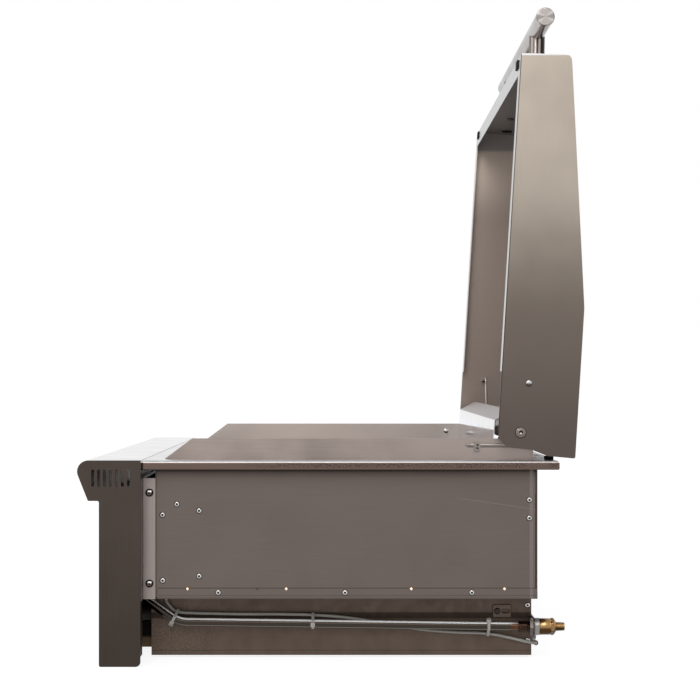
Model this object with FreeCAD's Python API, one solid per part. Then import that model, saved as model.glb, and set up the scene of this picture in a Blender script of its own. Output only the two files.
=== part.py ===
import FreeCAD, Part
import math
import os

# Built-in gas griddle with a hinged hood, made to hang in a counter's cut-out.
# X points right for someone facing the controls, Y to the back and Z up, in millimetres.
# The origin is the middle of the cut-out, on the counter's top.

# Sheet metal and clearances
SHEET = 1.2
SHEET_BEND = 2.4
RUNNING = 0.05
CLEAR = 0.3

# Cooking well
COOK_WIDTH = 700.0
FIREBOX_DEPTH = 521.0
FIREBOX_DROP = 172.0
PLATE_THICK = 8.0
PLATE_TOP = 6.0
PLATE_OVERHANG = 4.0
FLUE_GAP = 37.7
TROUGH_SHEET = 1.5
TROUGH_WIDTH = 53.5
TROUGH_DEPTH = 28.0
TROUGH_TUCK = 3.5
TROUGH_END_GAP = 0.5
DRAIN_RADIUS = 13.0
DRAIN_WALL = 1.5

# Splash guards, whose rear ears carry the hood
GUARD_THICK = 2.0
GUARD_RISE = 27.1
GUARD_SLOPE = 36.5
GUARD_FRONT_GAP = 0.5
GUARD_TAIL = 19.6
EAR_RADIUS = 13.5
WELL_GAP = 1.0

# Rear deflector
DEFLECTOR_FOOT = 2.0
DEFLECTOR_HEIGHT = 51.6
DEFLECTOR_LEAN = 5.0
LEDGE_DEPTH = 27.2
LEDGE_RISE = 14.9
LEDGE_HEM = 8.0

# Rim on the counter
RIM_HEIGHT = 12.0
RIM_SIDE = 23.0
RIM_REAR = 26.5
RIM_RETURN = 15.0
RIM_BEND = 4.0
RIM_HEM = 2.0
RIM_PANEL_GAP = 0.3
RIM_FRONT_STRIP = 25.4
RIM_REAR_STRIP = 21.0

# Firebox
SIDE_STEP = 1.0
SIDE_FOLD = 15.0
FLOOR_FLANGE = 14.0
FLANGE_ROUND = 4.0
FLOOR_BEND = 3.0
FLOOR_SETBACK = 18.0
BRACKET_LEG = 15.8
BRACKET_INNER = 17.0
NOTCH_DROP = 12.0
BOX_INSET = 4.0

# Control panel
PANEL_COLUMN = 54.3
PANEL_STEP = 0.5
PANEL_SIDE = 2.0
PANEL_SKIRT = 3.2
PANEL_FOOT = 36.0
END_THICK = 1.5
END_RETURN = 20.0
END_CORNER = 6.5
BULLNOSE_REACH = 28.5
BULLNOSE_DEPTH = 53.0
BULLNOSE_RADIUS = 14.4
BULLNOSE_SLANT = 21.5
SLOT_COUNT = 7
SLOT_WIDTH = 3.7
SLOT_HEIGHT = 22.3
SLOT_PITCH = 7.76
SLOT_DROP = 11.8
SLOT_BACK = 15.7

# Hood, in its closed place
HINGE_SPACE = 27.8
OPEN_ANGLE = 93.5
CLOSE_OVERRUN = 0.5
PIVOT_INSET = 22.1
PIVOT_RISE = 36.5
HOOD_OVERHANG = 1.8
HOOD_GAP = 6.55
HOOD_FACE = 67.2
HOOD_LEAN = 2.3
HOOD_CORNER = 9.3
CROWN_FRONT = 169.2
CROWN_RISE = 104.1
CROWN_RADIUS = 60.0
HOOD_TAIL = 30.4
HOOD_REAR = 104.2
TAIL_CORNER = 2.5
NECK_ROUND = 6.0
TAIL_FLANGE = 37.2
NECK_SETBACK = 22.3
NECK_RISE = 20.4
HEEL_SETBACK = 20.8
HEEL_RADIUS = 21.5
LIP_DEPTH = 26.0
SIDE_LIP = 25.0
SIDE_LIP_STOP = 79.0

# Handle
HANDLE_LENGTH = 596.0
HANDLE_RADIUS = 12.7
HANDLE_WALL = 1.5
HANDLE_CAP = 4.0
HANDLE_STANDOFF = 66.5
HANDLE_RISE = 40.7
POST_SPREAD = 193.0
POST_RADIUS = 11.3
POST_SCREW_RADIUS = 3.0
POST_SCREW_DEPTH = 22.0

# Hinge hardware
BOLT_RADIUS = 3.0
BOLT_HEAD_RADIUS = 5.0
BOLT_HEAD_HEIGHT = 3.4
BOLT_SOCKET_ACROSS = 4.0
BOLT_SOCKET_DEPTH = 2.0
NUT_ACROSS = 10.0
WASHER_RADIUS = 6.4
WASHER_THICK = 1.0
SPACER_RADIUS = 6.0
BUSH_RADIUS = 5.0
BUSH_FLANGE_RADIUS = 7.5
BUSH_FLANGE = 1.5
NUT_HEIGHT = 6.0
BOLT_TAIL = 2.0

# Counterbalance springs
WIRE_RADIUS = 1.7
SPRING_RADIUS = 17.5
SPRING_PITCH = 4.2
SPRING_TURNS = 5
SPRING_LEG = 70.8
SPRING_HOOK = 8.0
SPRING_SCREW_FRONT = 65.3
SPRING_SCREW_RISE = 6.9
SPRING_SCREW_RADIUS = 2.5
SPRING_SCREW_REACH = 12.0
CLIP_FRONT = 56.0
CLIP_LENGTH = 9.0
CLIP_WALL = 1.2
CLIP_FOOT = 7.4

# Rubber pads
LIP_PAD_SPREAD = 341.0
LIP_PAD_LENGTH = 24.0
LIP_PAD_WIDTH = 11.5
LIP_PAD_ROUND = 2.0
LIP_PAD_INSET = 9.4
PLUG_PAD_SPREAD = 340.0
PLUG_PAD_RISE = 48.4
PLUG_PAD_RADIUS = 9.0
PLUG_PAD_THICK = 1.6
STOP_SPREAD = 350.0
STOP_LENGTH = 16.0
STOP_DEPTH = 11.0

# Burners and gas train
BURNER_SPREAD = 165.0
BURNER_DROP = 118.0
BURNER_RADIUS = 16.0
BURNER_WALL = 1.2
BURNER_MOUTH = 9.0
BURNER_TAIL_GAP = 34.0
BURNER_PIN = 4.0
PORT_COUNT = 14
PORT_RADIUS = 1.5
PORT_PITCH = 24.0
SHUTTER_WALL = 1.0
SHUTTER_LENGTH = 22.0
WINDOW_LENGTH = 10.0
WINDOW_HEIGHT = 14.0
MANIFOLD_RADIUS = 9.5
MANIFOLD_WALL = 2.0
MANIFOLD_DROP = 24.0
MANIFOLD_FRONT = 33.0
MANIFOLD_OVERRUN = 20.0
STRAP_SPREAD = 70.0
STRAP_WIDTH = 20.0
STRAP_THICK = 2.0
VALVE_RADIUS = 11.0
VALVE_LENGTH = 40.0
VALVE_FRONT_GAP = 12.0
SPIGOT_RADIUS = 6.0
PLUG_RADIUS = 7.0
PLUG_LENGTH = 28.0
STEM_RADIUS = 4.0
STEM_FLAT = 3.0
STEM_HOLE_RADIUS = 8.0
PUSH_TRAVEL = 3.0
JET_RADIUS = 4.0
JET_REACH = 14.0
JET_BORE = 0.8

# Knobs and ignition
BEZEL_RADIUS = 29.0
BEZEL_THICK = 3.0
BEZEL_STEP = 5.0
KNOB_RADIUS = 23.0
KNOB_HEIGHT = 24.0
KNOB_TAPER = 2.0
KNOB_ROUND = 2.5
KNOB_MARK_WIDTH = 2.2
KNOB_MARK_DEPTH = 0.8
STEM_SEAT = 16.0
IGNITER_RADIUS = 11.0
IGNITER_LENGTH = 46.0
IGNITER_FLANGE_RADIUS = 14.0
IGNITER_FLANGE = 3.0
IGNITER_NUT = 5.0
BUTTON_RADIUS = 8.0
BUTTON_PROUD = 5.0
BUTTON_SEAT = 12.0
BUTTON_TRAVEL = 4.0
ELECTRODE_OFFSET = 27.0
ELECTRODE_RISE = 14.0
CERAMIC_RADIUS = 3.0
CERAMIC_LENGTH = 46.0
NEEDLE_RADIUS = 1.0
NEEDLE_LENGTH = 22.0

# Tray housing and drip tray
HOUSING_WIDTH = 660.0
HOUSING_DROP = 82.4
HOUSING_FRONT = 4.8
HOUSING_BACK = 2.3
RUNNER_LEG = 16.0
RUNNER_RISE = 42.4
RUNNER_END_GAP = 6.0
TRAY_SHEET = 1.0
TRAY_DEPTH = 36.0
TRAY_SIDE_GAP = 4.0
TRAY_BACK_GAP = 40.0
TRAY_FRONT_RISE = 12.0
TRAY_FRONT_DROP = 2.0
TRAY_FRAME_GAP = 1.5
PULL_WIDTH = 120.0
PULL_HEIGHT = 20.0
PULL_DROP = 4.0
LEVEL_LENGTH = 25.0
LEVEL_HEIGHT = 17.6
LEVEL_THICK = 2.0
LEVEL_BACK = 52.7
LEVEL_DROP = 14.0
LEVEL_SLOT = 10.0
LEVEL_SLOT_WIDTH = 5.0

# Gas supply
TUBE_RADIUS = 5.5
TUBE_WALL = 1.0
TUBE_STANDOFF = 15.0
TUBE_BEND = 22.0
ELBOW_RADIUS = 11.0
ELBOW_HEIGHT = 20.0
TUBE_KNEE = 18.0
TUBE_STUB = 9.9
TUBE_FALL = 45.5
TUBE_RUN_START = 41.5
TUBE_RUN_FALL = 6.2
TUBE_LEVEL_END = 30.0
TAB_THICK = 2.1
TAB_HEIGHT = 24.0
TAB_LAP = 24.0
TAB_OVERRUN = 13.0
SLEEVE_LENGTH = 11.5
SLEEVE_WALL = 1.6
SHANK_RADIUS = 6.5
SHANK_LEAD = 8.2
INLET_WASHER_RADIUS = 11.6
INLET_WASHER = 6.0
LOCK_NUT_ACROSS = 21.6
LOCK_NUT_HEIGHT = 4.4
INLET_BODY_RADIUS = 11.0
INLET_BODY = 15.6
INLET_HEX_ACROSS = 20.0
INLET_HEX = 6.7
INLET_END_RADIUS = 6.25
INLET_END = 12.0
INLET_BORE = 4.0

# Power lead with its ties, clip and connector
LEAD_RADIUS = 2.0
LEAD_BEND_SHARE = 0.45
LEAD_OUT = 8.0
LEAD_SETBACK = 24.5
LEAD_STUB = 6.5
LEAD_END = 52.0
# Points of the lead along the tube: share of the housing's depth, distance out from its wall, rise
# over the tube
LEAD_RUN = ((0.0559, 8.2, 21.4), (0.0752, 8.0, 11.4), (0.1350, 7.0, 10.6), (0.2352, 7.4, 9.2),
            (0.3432, 6.6, 9.4), (0.4434, 6.8, 8.0), (0.5244, 4.4, 4.4), (0.6131, 4.0, -3.6),
            (0.7056, 4.8, -11.6), (0.7943, 6.6, -15.2), (0.8882, 7.2, -16.2), (0.9422, 5.6, -22.6))
# Points round the rear corner: distance behind the housing, distance out from its wall, rise over the tube
LEAD_TURN = ((7.2, 7.0, -31.2), (6.6, -28.0, -33.0))
GROMMET_RADIUS = 7.0
GROMMET_NECK = 4.5
GROMMET_FLANGE = 2.0
TIE_WIDTH = 3.6
TIE_THICK = 1.2
TIE_SLACK = 0.6
TIE_HEAD = 5.6
TIE_HEAD_HEIGHT = 4.4
TIE_SHARES = (0.0704, 0.4301, 0.8859)
# Direction from the tube's middle to each tie's head
TIE_HEADS = ((1, 0, -1), (1, 0, 0), (0.4, 0, 1))
CLAMP_WALL = 1.4
CLAMP_WIDTH = 8.0
CLAMP_SLACK = 0.3
CLAMP_SHARE = 0.57
CONNECTOR_RADIUS = 6.0
CONNECTOR_LENGTH = 34.0
CONNECTOR_NECK = 8.0
SADDLE_WIDTH = 12.0
SADDLE_FOOT = 10.0

# Rivets and screws
RIVET_RADIUS = 3.4
RIVET_HEIGHT = 1.6
RIVET_ROUND = 1.2
RIVET_HOLE = 1.3
RIVET_HOLE_DEPTH = 1.0
TRUSS_RADIUS = 5.25
TRUSS_HEIGHT = 2.6
PAN_RADIUS = 4.2
PAN_HEIGHT = 2.8
RECESS_WIDTH = 1.2
RECESS_SHARE = 0.6
SHANK_SCREW_RADIUS = 2.4
PANEL_SCREW_DROPS = (31.2, 151.3)
PANEL_SCREW_INSET = 8.0

V = FreeCAD.Vector
RIGHT = V(1, 0, 0)
BACK = V(0, 1, 0)
UP = V(0, 0, 1)

# Planes to draw in: how two numbers become a point, and the direction out of the plane
SIDE = (lambda y, z: V(0, y, z), RIGHT)
FRONT = (lambda x, z: V(x, 0, z), BACK)
PLAN = (lambda x, y: V(x, y, 0), UP)

# Places that pieces share, from the inside out
cook_x = COOK_WIDTH / 2
guard_x = cook_x + GUARD_THICK
hood_in_x = guard_x + HINGE_SPACE
hood_x = hood_in_x + SHEET
side_x = hood_x + SIDE_STEP
rim_x = side_x + RIM_SIDE
panel_x = rim_x + PANEL_SIDE
panel_in_x = panel_x - END_THICK
box_x = cook_x - BOX_INSET
housing_x = HOUSING_WIDTH / 2
housing_in_x = housing_x - SHEET
tube_x = housing_x + TUBE_STANDOFF

front_y = -FIREBOX_DEPTH / 2
back_y = FIREBOX_DEPTH / 2
panel_back_y = front_y - SHEET
panel_y = panel_back_y - PANEL_COLUMN
panel_in_y = panel_y + SHEET
rim_front_y = panel_back_y + RIM_PANEL_GAP
rim_back_y = back_y + RIM_REAR
well_front_y = rim_front_y + RIM_FRONT_STRIP
well_back_y = back_y - RIM_REAR_STRIP
trough_front_y = well_front_y - TROUGH_TUCK
box_front_y = trough_front_y + TROUGH_WIDTH
box_back_y = well_back_y + SHEET
plate_front_y = box_front_y - PLATE_OVERHANG
plate_back_y = well_back_y - FLUE_GAP
drain_y = (trough_front_y + box_front_y) / 2
pivot_y = back_y - PIVOT_INSET
housing_front_y = front_y + HOUSING_FRONT
housing_back_y = back_y - HOUSING_BACK
floor_front_y = front_y + FLOOR_SETBACK

rim_top = RIM_HEIGHT
rim_under = rim_top - SHEET
plate_under = PLATE_TOP - PLATE_THICK
guard_top = rim_top + GUARD_RISE
pivot_z = rim_top + PIVOT_RISE
floor_under = -FIREBOX_DROP
floor_top = floor_under + SHEET
side_under = floor_under + FLOOR_BEND
burner_z = -BURNER_DROP
housing_under = floor_under - HOUSING_DROP
panel_top = rim_top + PANEL_STEP
panel_under = housing_under - PANEL_SKIRT
runner_top = housing_under + RUNNER_RISE
tray_flange_under = runner_top + CLEAR
tray_flange_top = tray_flange_under + TRAY_SHEET
tray_under = tray_flange_top - TRAY_DEPTH

# The hood's closed outline
hood_front_y = front_y - HOOD_OVERHANG
hood_edge_z = rim_top + HOOD_GAP
lean = math.radians(HOOD_LEAN)
hood_top_front = (hood_front_y - HOOD_FACE * math.sin(lean), hood_edge_z + HOOD_FACE * math.cos(lean))
hood_crown = (pivot_y - CROWN_FRONT, hood_edge_z + CROWN_RISE)
hood_tail = (pivot_y + HOOD_TAIL, hood_edge_z + HOOD_REAR)
hood_tail_end = (hood_tail[0] - SHEET, hood_tail[1] - TAIL_FLANGE)
face_out = V(0, -math.cos(lean), -math.sin(lean))
face_up = V(0, -math.sin(lean), math.cos(lean))
hood_corner = V(0, hood_front_y, hood_edge_z)

# The valves, behind the panel
valve_front_y = panel_in_y + VALVE_FRONT_GAP
valve_back_y = valve_front_y + VALVE_LENGTH
manifold_y = panel_y + MANIFOLD_FRONT
manifold_z = burner_z - MANIFOLD_DROP
burner_front_y = valve_back_y + BURNER_MOUTH
bezel_y = panel_y - BEZEL_THICK
knob_back_y = bezel_y - PUSH_TRAVEL - CLEAR * 2
knob_front_y = knob_back_y - KNOB_HEIGHT

# The gas tube's way from the manifold's elbow to the inlet at the back
elbow_under = manifold_z - ELBOW_HEIGHT / 2
tube_knee_z = elbow_under - TUBE_STUB
tube_run_y = front_y + TUBE_RUN_START
tube_run_z = tube_knee_z - TUBE_FALL
inlet_z = tube_run_z - TUBE_RUN_FALL
tab_y = housing_back_y
shank_y = tab_y - SHANK_LEAD


def block(x, y, z):
    """A box from three (low, high) spans."""
    return Part.makeBox(x[1] - x[0], y[1] - y[0], z[1] - z[0], V(x[0], y[0], z[0]))


def rod(start, end, radius):
    """A round bar between two points."""
    return Part.makeCylinder(radius, (end - start).Length, start, end - start)


def pipe(start, end, radius, wall):
    """A straight round tube between two points."""
    return rod(start, end, radius).cut(rod(start, end, radius - wall))


def run(corners, closed=False):
    """A wire of straight runs through (point, radius) corners, with a tangent arc at each radius."""
    count = len(corners)
    joints = []
    for i, (point, radius) in enumerate(corners):
        if radius == 0 or not (closed or 0 < i < count - 1):
            joints.append((point, point, None))
            continue
        before = (corners[i - 1][0] - point).normalize()
        after = (corners[(i + 1) % count][0] - point).normalize()
        half = before.getAngle(after) / 2
        reach = radius / math.tan(half)
        inward = (before + after).normalize()
        middle = point + inward * (radius / math.sin(half) - radius)
        joints.append((point + before * reach, point + after * reach, middle))
    edges = []
    for i, (enter, leave, middle) in enumerate(joints):
        if middle is not None:
            edges.append(Part.Arc(enter, middle, leave).toShape())
        if closed or i < count - 1:
            target = joints[(i + 1) % count][0]
            if (target - leave).Length > 1e-6:
                edges.append(Part.makeLine(leave, target))
    return Part.Wire(edges)


def extruded(face, plane, low, high):
    """A face drawn in a plane, extruded out of it from low to high."""
    solid = face.extrude(plane[1] * (high - low))
    solid.translate(plane[1] * low)
    return solid


def outline(corners, plane):
    """The face inside a closed outline of (a, b, radius) corners."""
    return Part.Face(run([(plane[0](a, b), radius) for a, b, radius in corners], True))


def rounded(a, b, radius, plane):
    """A rectangle with round corners, from its two spans."""
    return outline([(a[0], b[0], radius), (a[1], b[0], radius), (a[1], b[1], radius), (a[0], b[1], radius)],
                   plane)


def offset_corners(corners, thickness):
    """The corners moved to the left of their direction of travel, with their bends kept parallel."""
    moved = []
    for i, (a, b, radius) in enumerate(corners):
        ways = []
        for one, two in ((i - 1, i), (i, i + 1)):
            if 0 <= one and two < len(corners):
                step = (corners[two][0] - corners[one][0], corners[two][1] - corners[one][1])
                length = math.hypot(*step)
                ways.append((step[0] / length, step[1] / length))
        first, last = ways[0], ways[-1]
        scale = thickness / (1 + first[0] * last[0] + first[1] * last[1])
        turn = first[0] * last[1] - first[1] * last[0]
        bend = radius - math.copysign(thickness, turn * thickness) if radius else 0
        shift = (-(first[1] + last[1]) * scale, (first[0] + last[0]) * scale)
        moved.append((a + shift[0], b + shift[1], max(bend, 0)))
    return moved


def folded(corners, thickness, plane):
    """The section of a folded sheet: its outside's corners, and its thickness to the left of them."""
    near = run([(plane[0](a, b), radius) for a, b, radius in corners])
    inside = offset_corners(corners, thickness)
    far = run([(plane[0](a, b), radius) for a, b, radius in inside])
    ends = [Part.makeLine(plane[0](*corners[k][:2]), plane[0](*inside[k][:2])) for k in (0, -1)]
    edges = near.Edges + far.Edges + ends
    return Part.Face(Part.Wire(Part.__sortEdges__(edges)))


def mirrored(solid):
    """The same piece on the left."""
    return solid.mirror(V(0, 0, 0), RIGHT)


def both_sides(solid):
    """A piece on the right and its mirror image on the left."""
    return [solid, mirrored(solid)]


def hexagon(start, along, across, height):
    """A six-sided bar from a start point along a direction."""
    prism = Part.Face(Part.makePolygon([
        V(across / math.sqrt(3) * math.cos(math.radians(60 * k)),
          across / math.sqrt(3) * math.sin(math.radians(60 * k)), 0) for k in range(7)]))
    solid = prism.extrude(UP * height)
    solid.Placement = FreeCAD.Placement(start, FreeCAD.Rotation(UP, along))
    return solid


def edges_at(solid, test):
    """The edges whose middle passes a test."""
    return [edge for edge in solid.Edges if test(edge.CenterOfMass)]


def domed(radius, height, rounding):
    """A round head on X = 0 that stands towards +X, with its outer edge rounded."""
    head = Part.makeCylinder(radius, height, V(0, 0, 0), RIGHT)
    return head.makeFillet(rounding, edges_at(head, lambda p: abs(p.x - height) < 1e-6))


def rivet():
    """A pop rivet's head with the hole that its mandrel leaves."""
    hole = rod(V(RIVET_HEIGHT - RIVET_HOLE_DEPTH, 0, 0), V(RIVET_HEIGHT, 0, 0), RIVET_HOLE)
    return domed(RIVET_RADIUS, RIVET_HEIGHT, RIVET_ROUND).cut(hole)


def cross_screw(radius, height, shank_radius, shank_length):
    """A screw with a cross recess in its head, which sits on X = 0."""
    head = domed(radius, height, height * RECESS_SHARE)
    reach = radius * RECESS_SHARE
    deep = (height * (1 - RECESS_SHARE), height)
    bars = [block(deep, (-reach, reach), (-RECESS_WIDTH / 2, RECESS_WIDTH / 2)),
            block(deep, (-RECESS_WIDTH / 2, RECESS_WIDTH / 2), (-reach, reach))]
    return head.cut(bars).fuse(rod(V(-shank_length, 0, 0), V(0, 0, 0), shank_radius))


def at(solid, x, y, z):
    """A copy of a piece moved from the origin to a place."""
    return solid.translated(V(x, y, z))


def opened(solid):
    """A hood piece turned from its closed place to the open one."""
    return solid.rotated(V(0, pivot_y, pivot_z), RIGHT, -OPEN_ANGLE)


def opened_point(y, z):
    """A point of the closed hood, as (y, z) when the hood is open."""
    turned = FreeCAD.Rotation(RIGHT, -OPEN_ANGLE).multVec(V(0, y - pivot_y, z - pivot_z))
    return pivot_y + turned.y, pivot_z + turned.z


def save(name, pieces):
    """Write one piece, or a group of separate ones, under its name."""
    shape = Part.makeCompound(pieces) if isinstance(pieces, list) else pieces
    shape.exportStep("parts/" + name + ".step")


def make_rim():
    """Rim tray that lies on the counter, with folded and returned edges and the well's opening."""
    def shell(inset, bend, low, top):
        body = block((-rim_x + inset, rim_x - inset), (rim_front_y + inset, rim_back_y - inset), (low, top))
        upper = edges_at(body, lambda p: abs(p.z - top) < 1e-6 and p.y > rim_front_y + inset + 1)
        return body.makeFillet(bend, upper)
    rim = shell(0, RIM_BEND, 0, rim_top).cut(shell(SHEET, RIM_BEND - SHEET, -SHEET, rim_under))
    return_ring = block((-rim_x + SHEET, rim_x - SHEET), (rim_front_y + SHEET, rim_back_y - SHEET),
                        (0, SHEET))
    inner = block((-rim_x + RIM_RETURN, rim_x - RIM_RETURN),
                  (rim_front_y, rim_back_y - RIM_RETURN), (-SHEET, SHEET * 2))
    envelope = block((-rim_x, rim_x), (rim_front_y, rim_back_y), (0, rim_top))
    lower = edges_at(envelope, lambda p: abs(p.z) < 1e-6 and p.y > rim_front_y + 1)
    rim = rim.fuse(return_ring.cut(inner)).common(envelope.makeFillet(RIM_HEM, lower))
    well_x = guard_x + WELL_GAP
    return rim.cut(block((-well_x, well_x), (well_front_y, well_back_y), (-SHEET, rim_top + SHEET)))


def make_firebox_side():
    """Right side of the firebox, notched below the rim at the front and folded in at the back."""
    section = folded([(side_x, front_y, 0), (side_x, back_y - SHEET, SHEET_BEND),
                      (side_x - SIDE_FOLD, back_y - SHEET, 0)], SHEET, PLAN)
    side = extruded(section, PLAN, side_under, rim_under)
    notch = block((side_x - SHEET * 2, side_x + SHEET), (front_y - SHEET, front_y + BRACKET_LEG),
                  (-NOTCH_DROP, rim_top))
    return side.cut([notch] + panel_screw_holes())


def make_firebox_floor():
    """Floor pan with its flanges turned up outside the firebox sides."""
    pan_x = side_x + SHEET
    section = folded([(-pan_x, floor_under + FLOOR_FLANGE, 0), (-pan_x, floor_under, FLOOR_BEND),
                      (pan_x, floor_under, FLOOR_BEND), (pan_x, floor_under + FLOOR_FLANGE, 0)], SHEET, FRONT)
    pan = extruded(section, FRONT, floor_front_y, back_y)
    flange_top = floor_under + FLOOR_FLANGE
    corners = edges_at(pan, lambda p: abs(p.z - flange_top) < 1e-6 and
                       min(abs(p.y - floor_front_y), abs(p.y - back_y)) < 1e-6)
    pan = pan.makeFillet(FLANGE_ROUND, corners)
    drain = rod(V(0, drain_y, floor_under - 1), V(0, drain_y, floor_top + 1), DRAIN_RADIUS + WELL_GAP)
    lead = rod(lead_entry(floor_under - 1), lead_entry(floor_top + 1), GROMMET_NECK)
    return pan.cut([drain, lead])


def make_burner_box():
    """Open box round the burners that stands on the floor and carries the griddle plate."""
    outer = block((-box_x, box_x), (box_front_y, box_back_y), (floor_top, rim_under))
    inner = block((-box_x + SHEET, box_x - SHEET), (box_front_y + SHEET, box_back_y - SHEET),
                  (floor_top + SHEET, rim_top))
    above = block((-box_x - 1, box_x + 1), (box_front_y - 1, box_back_y - SHEET), (plate_under, rim_top))
    holes = []
    for x in (-BURNER_SPREAD, BURNER_SPREAD):
        holes.append(rod(V(x, box_front_y - 1, burner_z), V(x, box_front_y + SHEET + 1, burner_z),
                         BURNER_RADIUS))
        start = electrode_point(x, box_front_y - 1)
        holes.append(rod(start, start + BACK * (SHEET + 2), CERAMIC_RADIUS))
    return outer.cut([inner, above] + holes)


def make_trough():
    """Grease trough under the plate's front edge, with end walls and the hole for its drain tube."""
    end_x = cook_x - TROUGH_END_GAP
    under = plate_under - TROUGH_DEPTH
    corners = [(box_front_y, plate_under, 0), (box_front_y, under, SHEET_BEND),
               (trough_front_y, under, SHEET_BEND), (trough_front_y, rim_under, 0)]
    channel = extruded(folded(corners, -TROUGH_SHEET, SIDE), SIDE, -end_x, end_x)
    wall = extruded(outline([(box_front_y, plate_under, 0), (box_front_y, under, SHEET_BEND),
                             (trough_front_y, under, SHEET_BEND), (trough_front_y, plate_under, 0)], SIDE),
                    SIDE, end_x - TROUGH_SHEET, end_x)
    hole = rod(V(0, drain_y, under - 1), V(0, drain_y, under + TROUGH_SHEET + 1), DRAIN_RADIUS)
    return channel.fuse(both_sides(wall)).cut(hole)


def make_drain():
    """Drain tube from the trough's floor to just over the drip tray."""
    top = V(0, drain_y, plate_under - TROUGH_DEPTH + TROUGH_SHEET)
    return pipe(V(0, drain_y, tray_flange_top + TRAY_FRONT_RISE), top, DRAIN_RADIUS, DRAIN_WALL)


def make_guard():
    """Right splash guard with a sloped front and the ear that carries the hood's pivot."""
    front = well_front_y + GUARD_FRONT_GAP
    tail = pivot_y + GUARD_TAIL
    corners = [(front, plate_under, 0), (front, rim_top, 0), (front + GUARD_SLOPE, guard_top, 2.0),
               (pivot_y - EAR_RADIUS * 1.6, guard_top, 4.0),
               (pivot_y - EAR_RADIUS, pivot_z + EAR_RADIUS, EAR_RADIUS * 0.9),
               (pivot_y + EAR_RADIUS, pivot_z + EAR_RADIUS, EAR_RADIUS * 0.9),
               (tail, guard_top, 3.0), (tail, rim_top, 0), (well_back_y - WELL_GAP, rim_top, 0),
               (well_back_y - WELL_GAP, plate_under, 0)]
    guard = extruded(outline(corners, SIDE), SIDE, cook_x, guard_x)
    return guard.cut(rod(V(cook_x - 1, pivot_y, pivot_z), V(guard_x + 1, pivot_y, pivot_z), BUSH_RADIUS))


def make_deflector():
    """Rear deflector: a leaning wall behind the plate, with a ledge over the flue."""
    foot_top = PLATE_TOP + DEFLECTOR_FOOT
    knee = (plate_back_y + DEFLECTOR_LEAN, foot_top + DEFLECTOR_HEIGHT + DEFLECTOR_FOOT * 2)
    edge = (knee[0] + LEDGE_DEPTH, knee[1] + LEDGE_RISE)
    corners = [(plate_back_y, plate_under, 0), (plate_back_y, foot_top, SHEET_BEND),
               (knee[0], knee[1], SHEET_BEND), (edge[0], edge[1], SHEET_BEND),
               (edge[0] + LEDGE_HEM / 4, edge[1] - LEDGE_HEM, 0)]
    return extruded(folded(corners, -SHEET, SIDE), SIDE, -cook_x, cook_x)


def panel_corners():
    """The control panel's outside in side view, from its top edge over the bullnose to its foot."""
    half = math.radians(90 - BULLNOSE_SLANT) / 2
    nose_y = panel_y - BULLNOSE_REACH + BULLNOSE_RADIUS - BULLNOSE_RADIUS / math.tan(half)
    nose_under = panel_top - BULLNOSE_DEPTH
    slant_y = nose_y + BULLNOSE_DEPTH * math.tan(math.radians(BULLNOSE_SLANT))
    return [(panel_back_y, panel_top, 0), (nose_y, panel_top, BULLNOSE_RADIUS),
            (slant_y, nose_under, SHEET_BEND), (panel_y, nose_under, SHEET_BEND),
            (panel_y, panel_under, SHEET_BEND), (panel_y + PANEL_FOOT, panel_under, 0)]


def make_control_panel():
    """Front panel with the holes for the stems and the igniter, and the drip tray's opening."""
    panel = extruded(folded(panel_corners(), SHEET, SIDE), SIDE, -panel_in_x, panel_in_x)
    reach = BACK * (SHEET + 2)
    start = V(0, panel_y - 1, burner_z)
    holes = [rod(start, start + reach, IGNITER_RADIUS)]
    for x in (-BURNER_SPREAD, BURNER_SPREAD):
        holes.append(rod(start + RIGHT * x, start + RIGHT * x + reach, STEM_HOLE_RADIUS))
    frame_x = tray_flange_x + TRAY_FRAME_GAP
    holes.append(block((-frame_x, frame_x), (panel_y - 1, panel_in_y + 1),
                       (tray_front_under - TRAY_FRAME_GAP, tray_front_top + TRAY_FRAME_GAP)))
    return panel.cut(holes)


def make_panel_end():
    """Right end of the control panel, with vent slots and a return that the bracket holds."""
    corners = panel_corners()
    corners[-1] = (panel_back_y, panel_under, END_CORNER)
    cap = extruded(outline(corners, SIDE), SIDE, panel_in_x, panel_x)
    slots = []
    for k in range(SLOT_COUNT):
        y = panel_back_y - SLOT_BACK - k * SLOT_PITCH
        top = panel_top - SLOT_DROP
        low = top - SLOT_HEIGHT
        slot = rounded((y - SLOT_WIDTH / 2, y + SLOT_WIDTH / 2), (low, top), SLOT_WIDTH / 2.01, SIDE)
        slots.append(extruded(slot, SIDE, panel_in_x - 1, panel_x + 1))
    flange = block((panel_in_x - END_RETURN, panel_in_x), (panel_back_y - SHEET, panel_back_y),
                   (panel_under + END_CORNER * 2, -NOTCH_DROP))
    return cap.cut(slots).fuse(flange)


def make_panel_bracket():
    """Angle that holds the panel's right end to the firebox side."""
    leg = block((side_x, side_x + SHEET), (panel_back_y, front_y + BRACKET_LEG), (floor_under, -NOTCH_DROP))
    face = block((side_x, panel_in_x - SHEET), (panel_back_y, front_y), (floor_under, -NOTCH_DROP))
    return leg.fuse(face).cut(panel_screw_holes())


def panel_screw_holes():
    """The holes for the screws through the right bracket and the firebox side."""
    y = front_y + PANEL_SCREW_INSET
    return [rod(V(side_x - SHEET * 2, y, -drop), V(side_x + SHEET * 2, y, -drop), SHANK_SCREW_RADIUS)
            for drop in PANEL_SCREW_DROPS]


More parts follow.
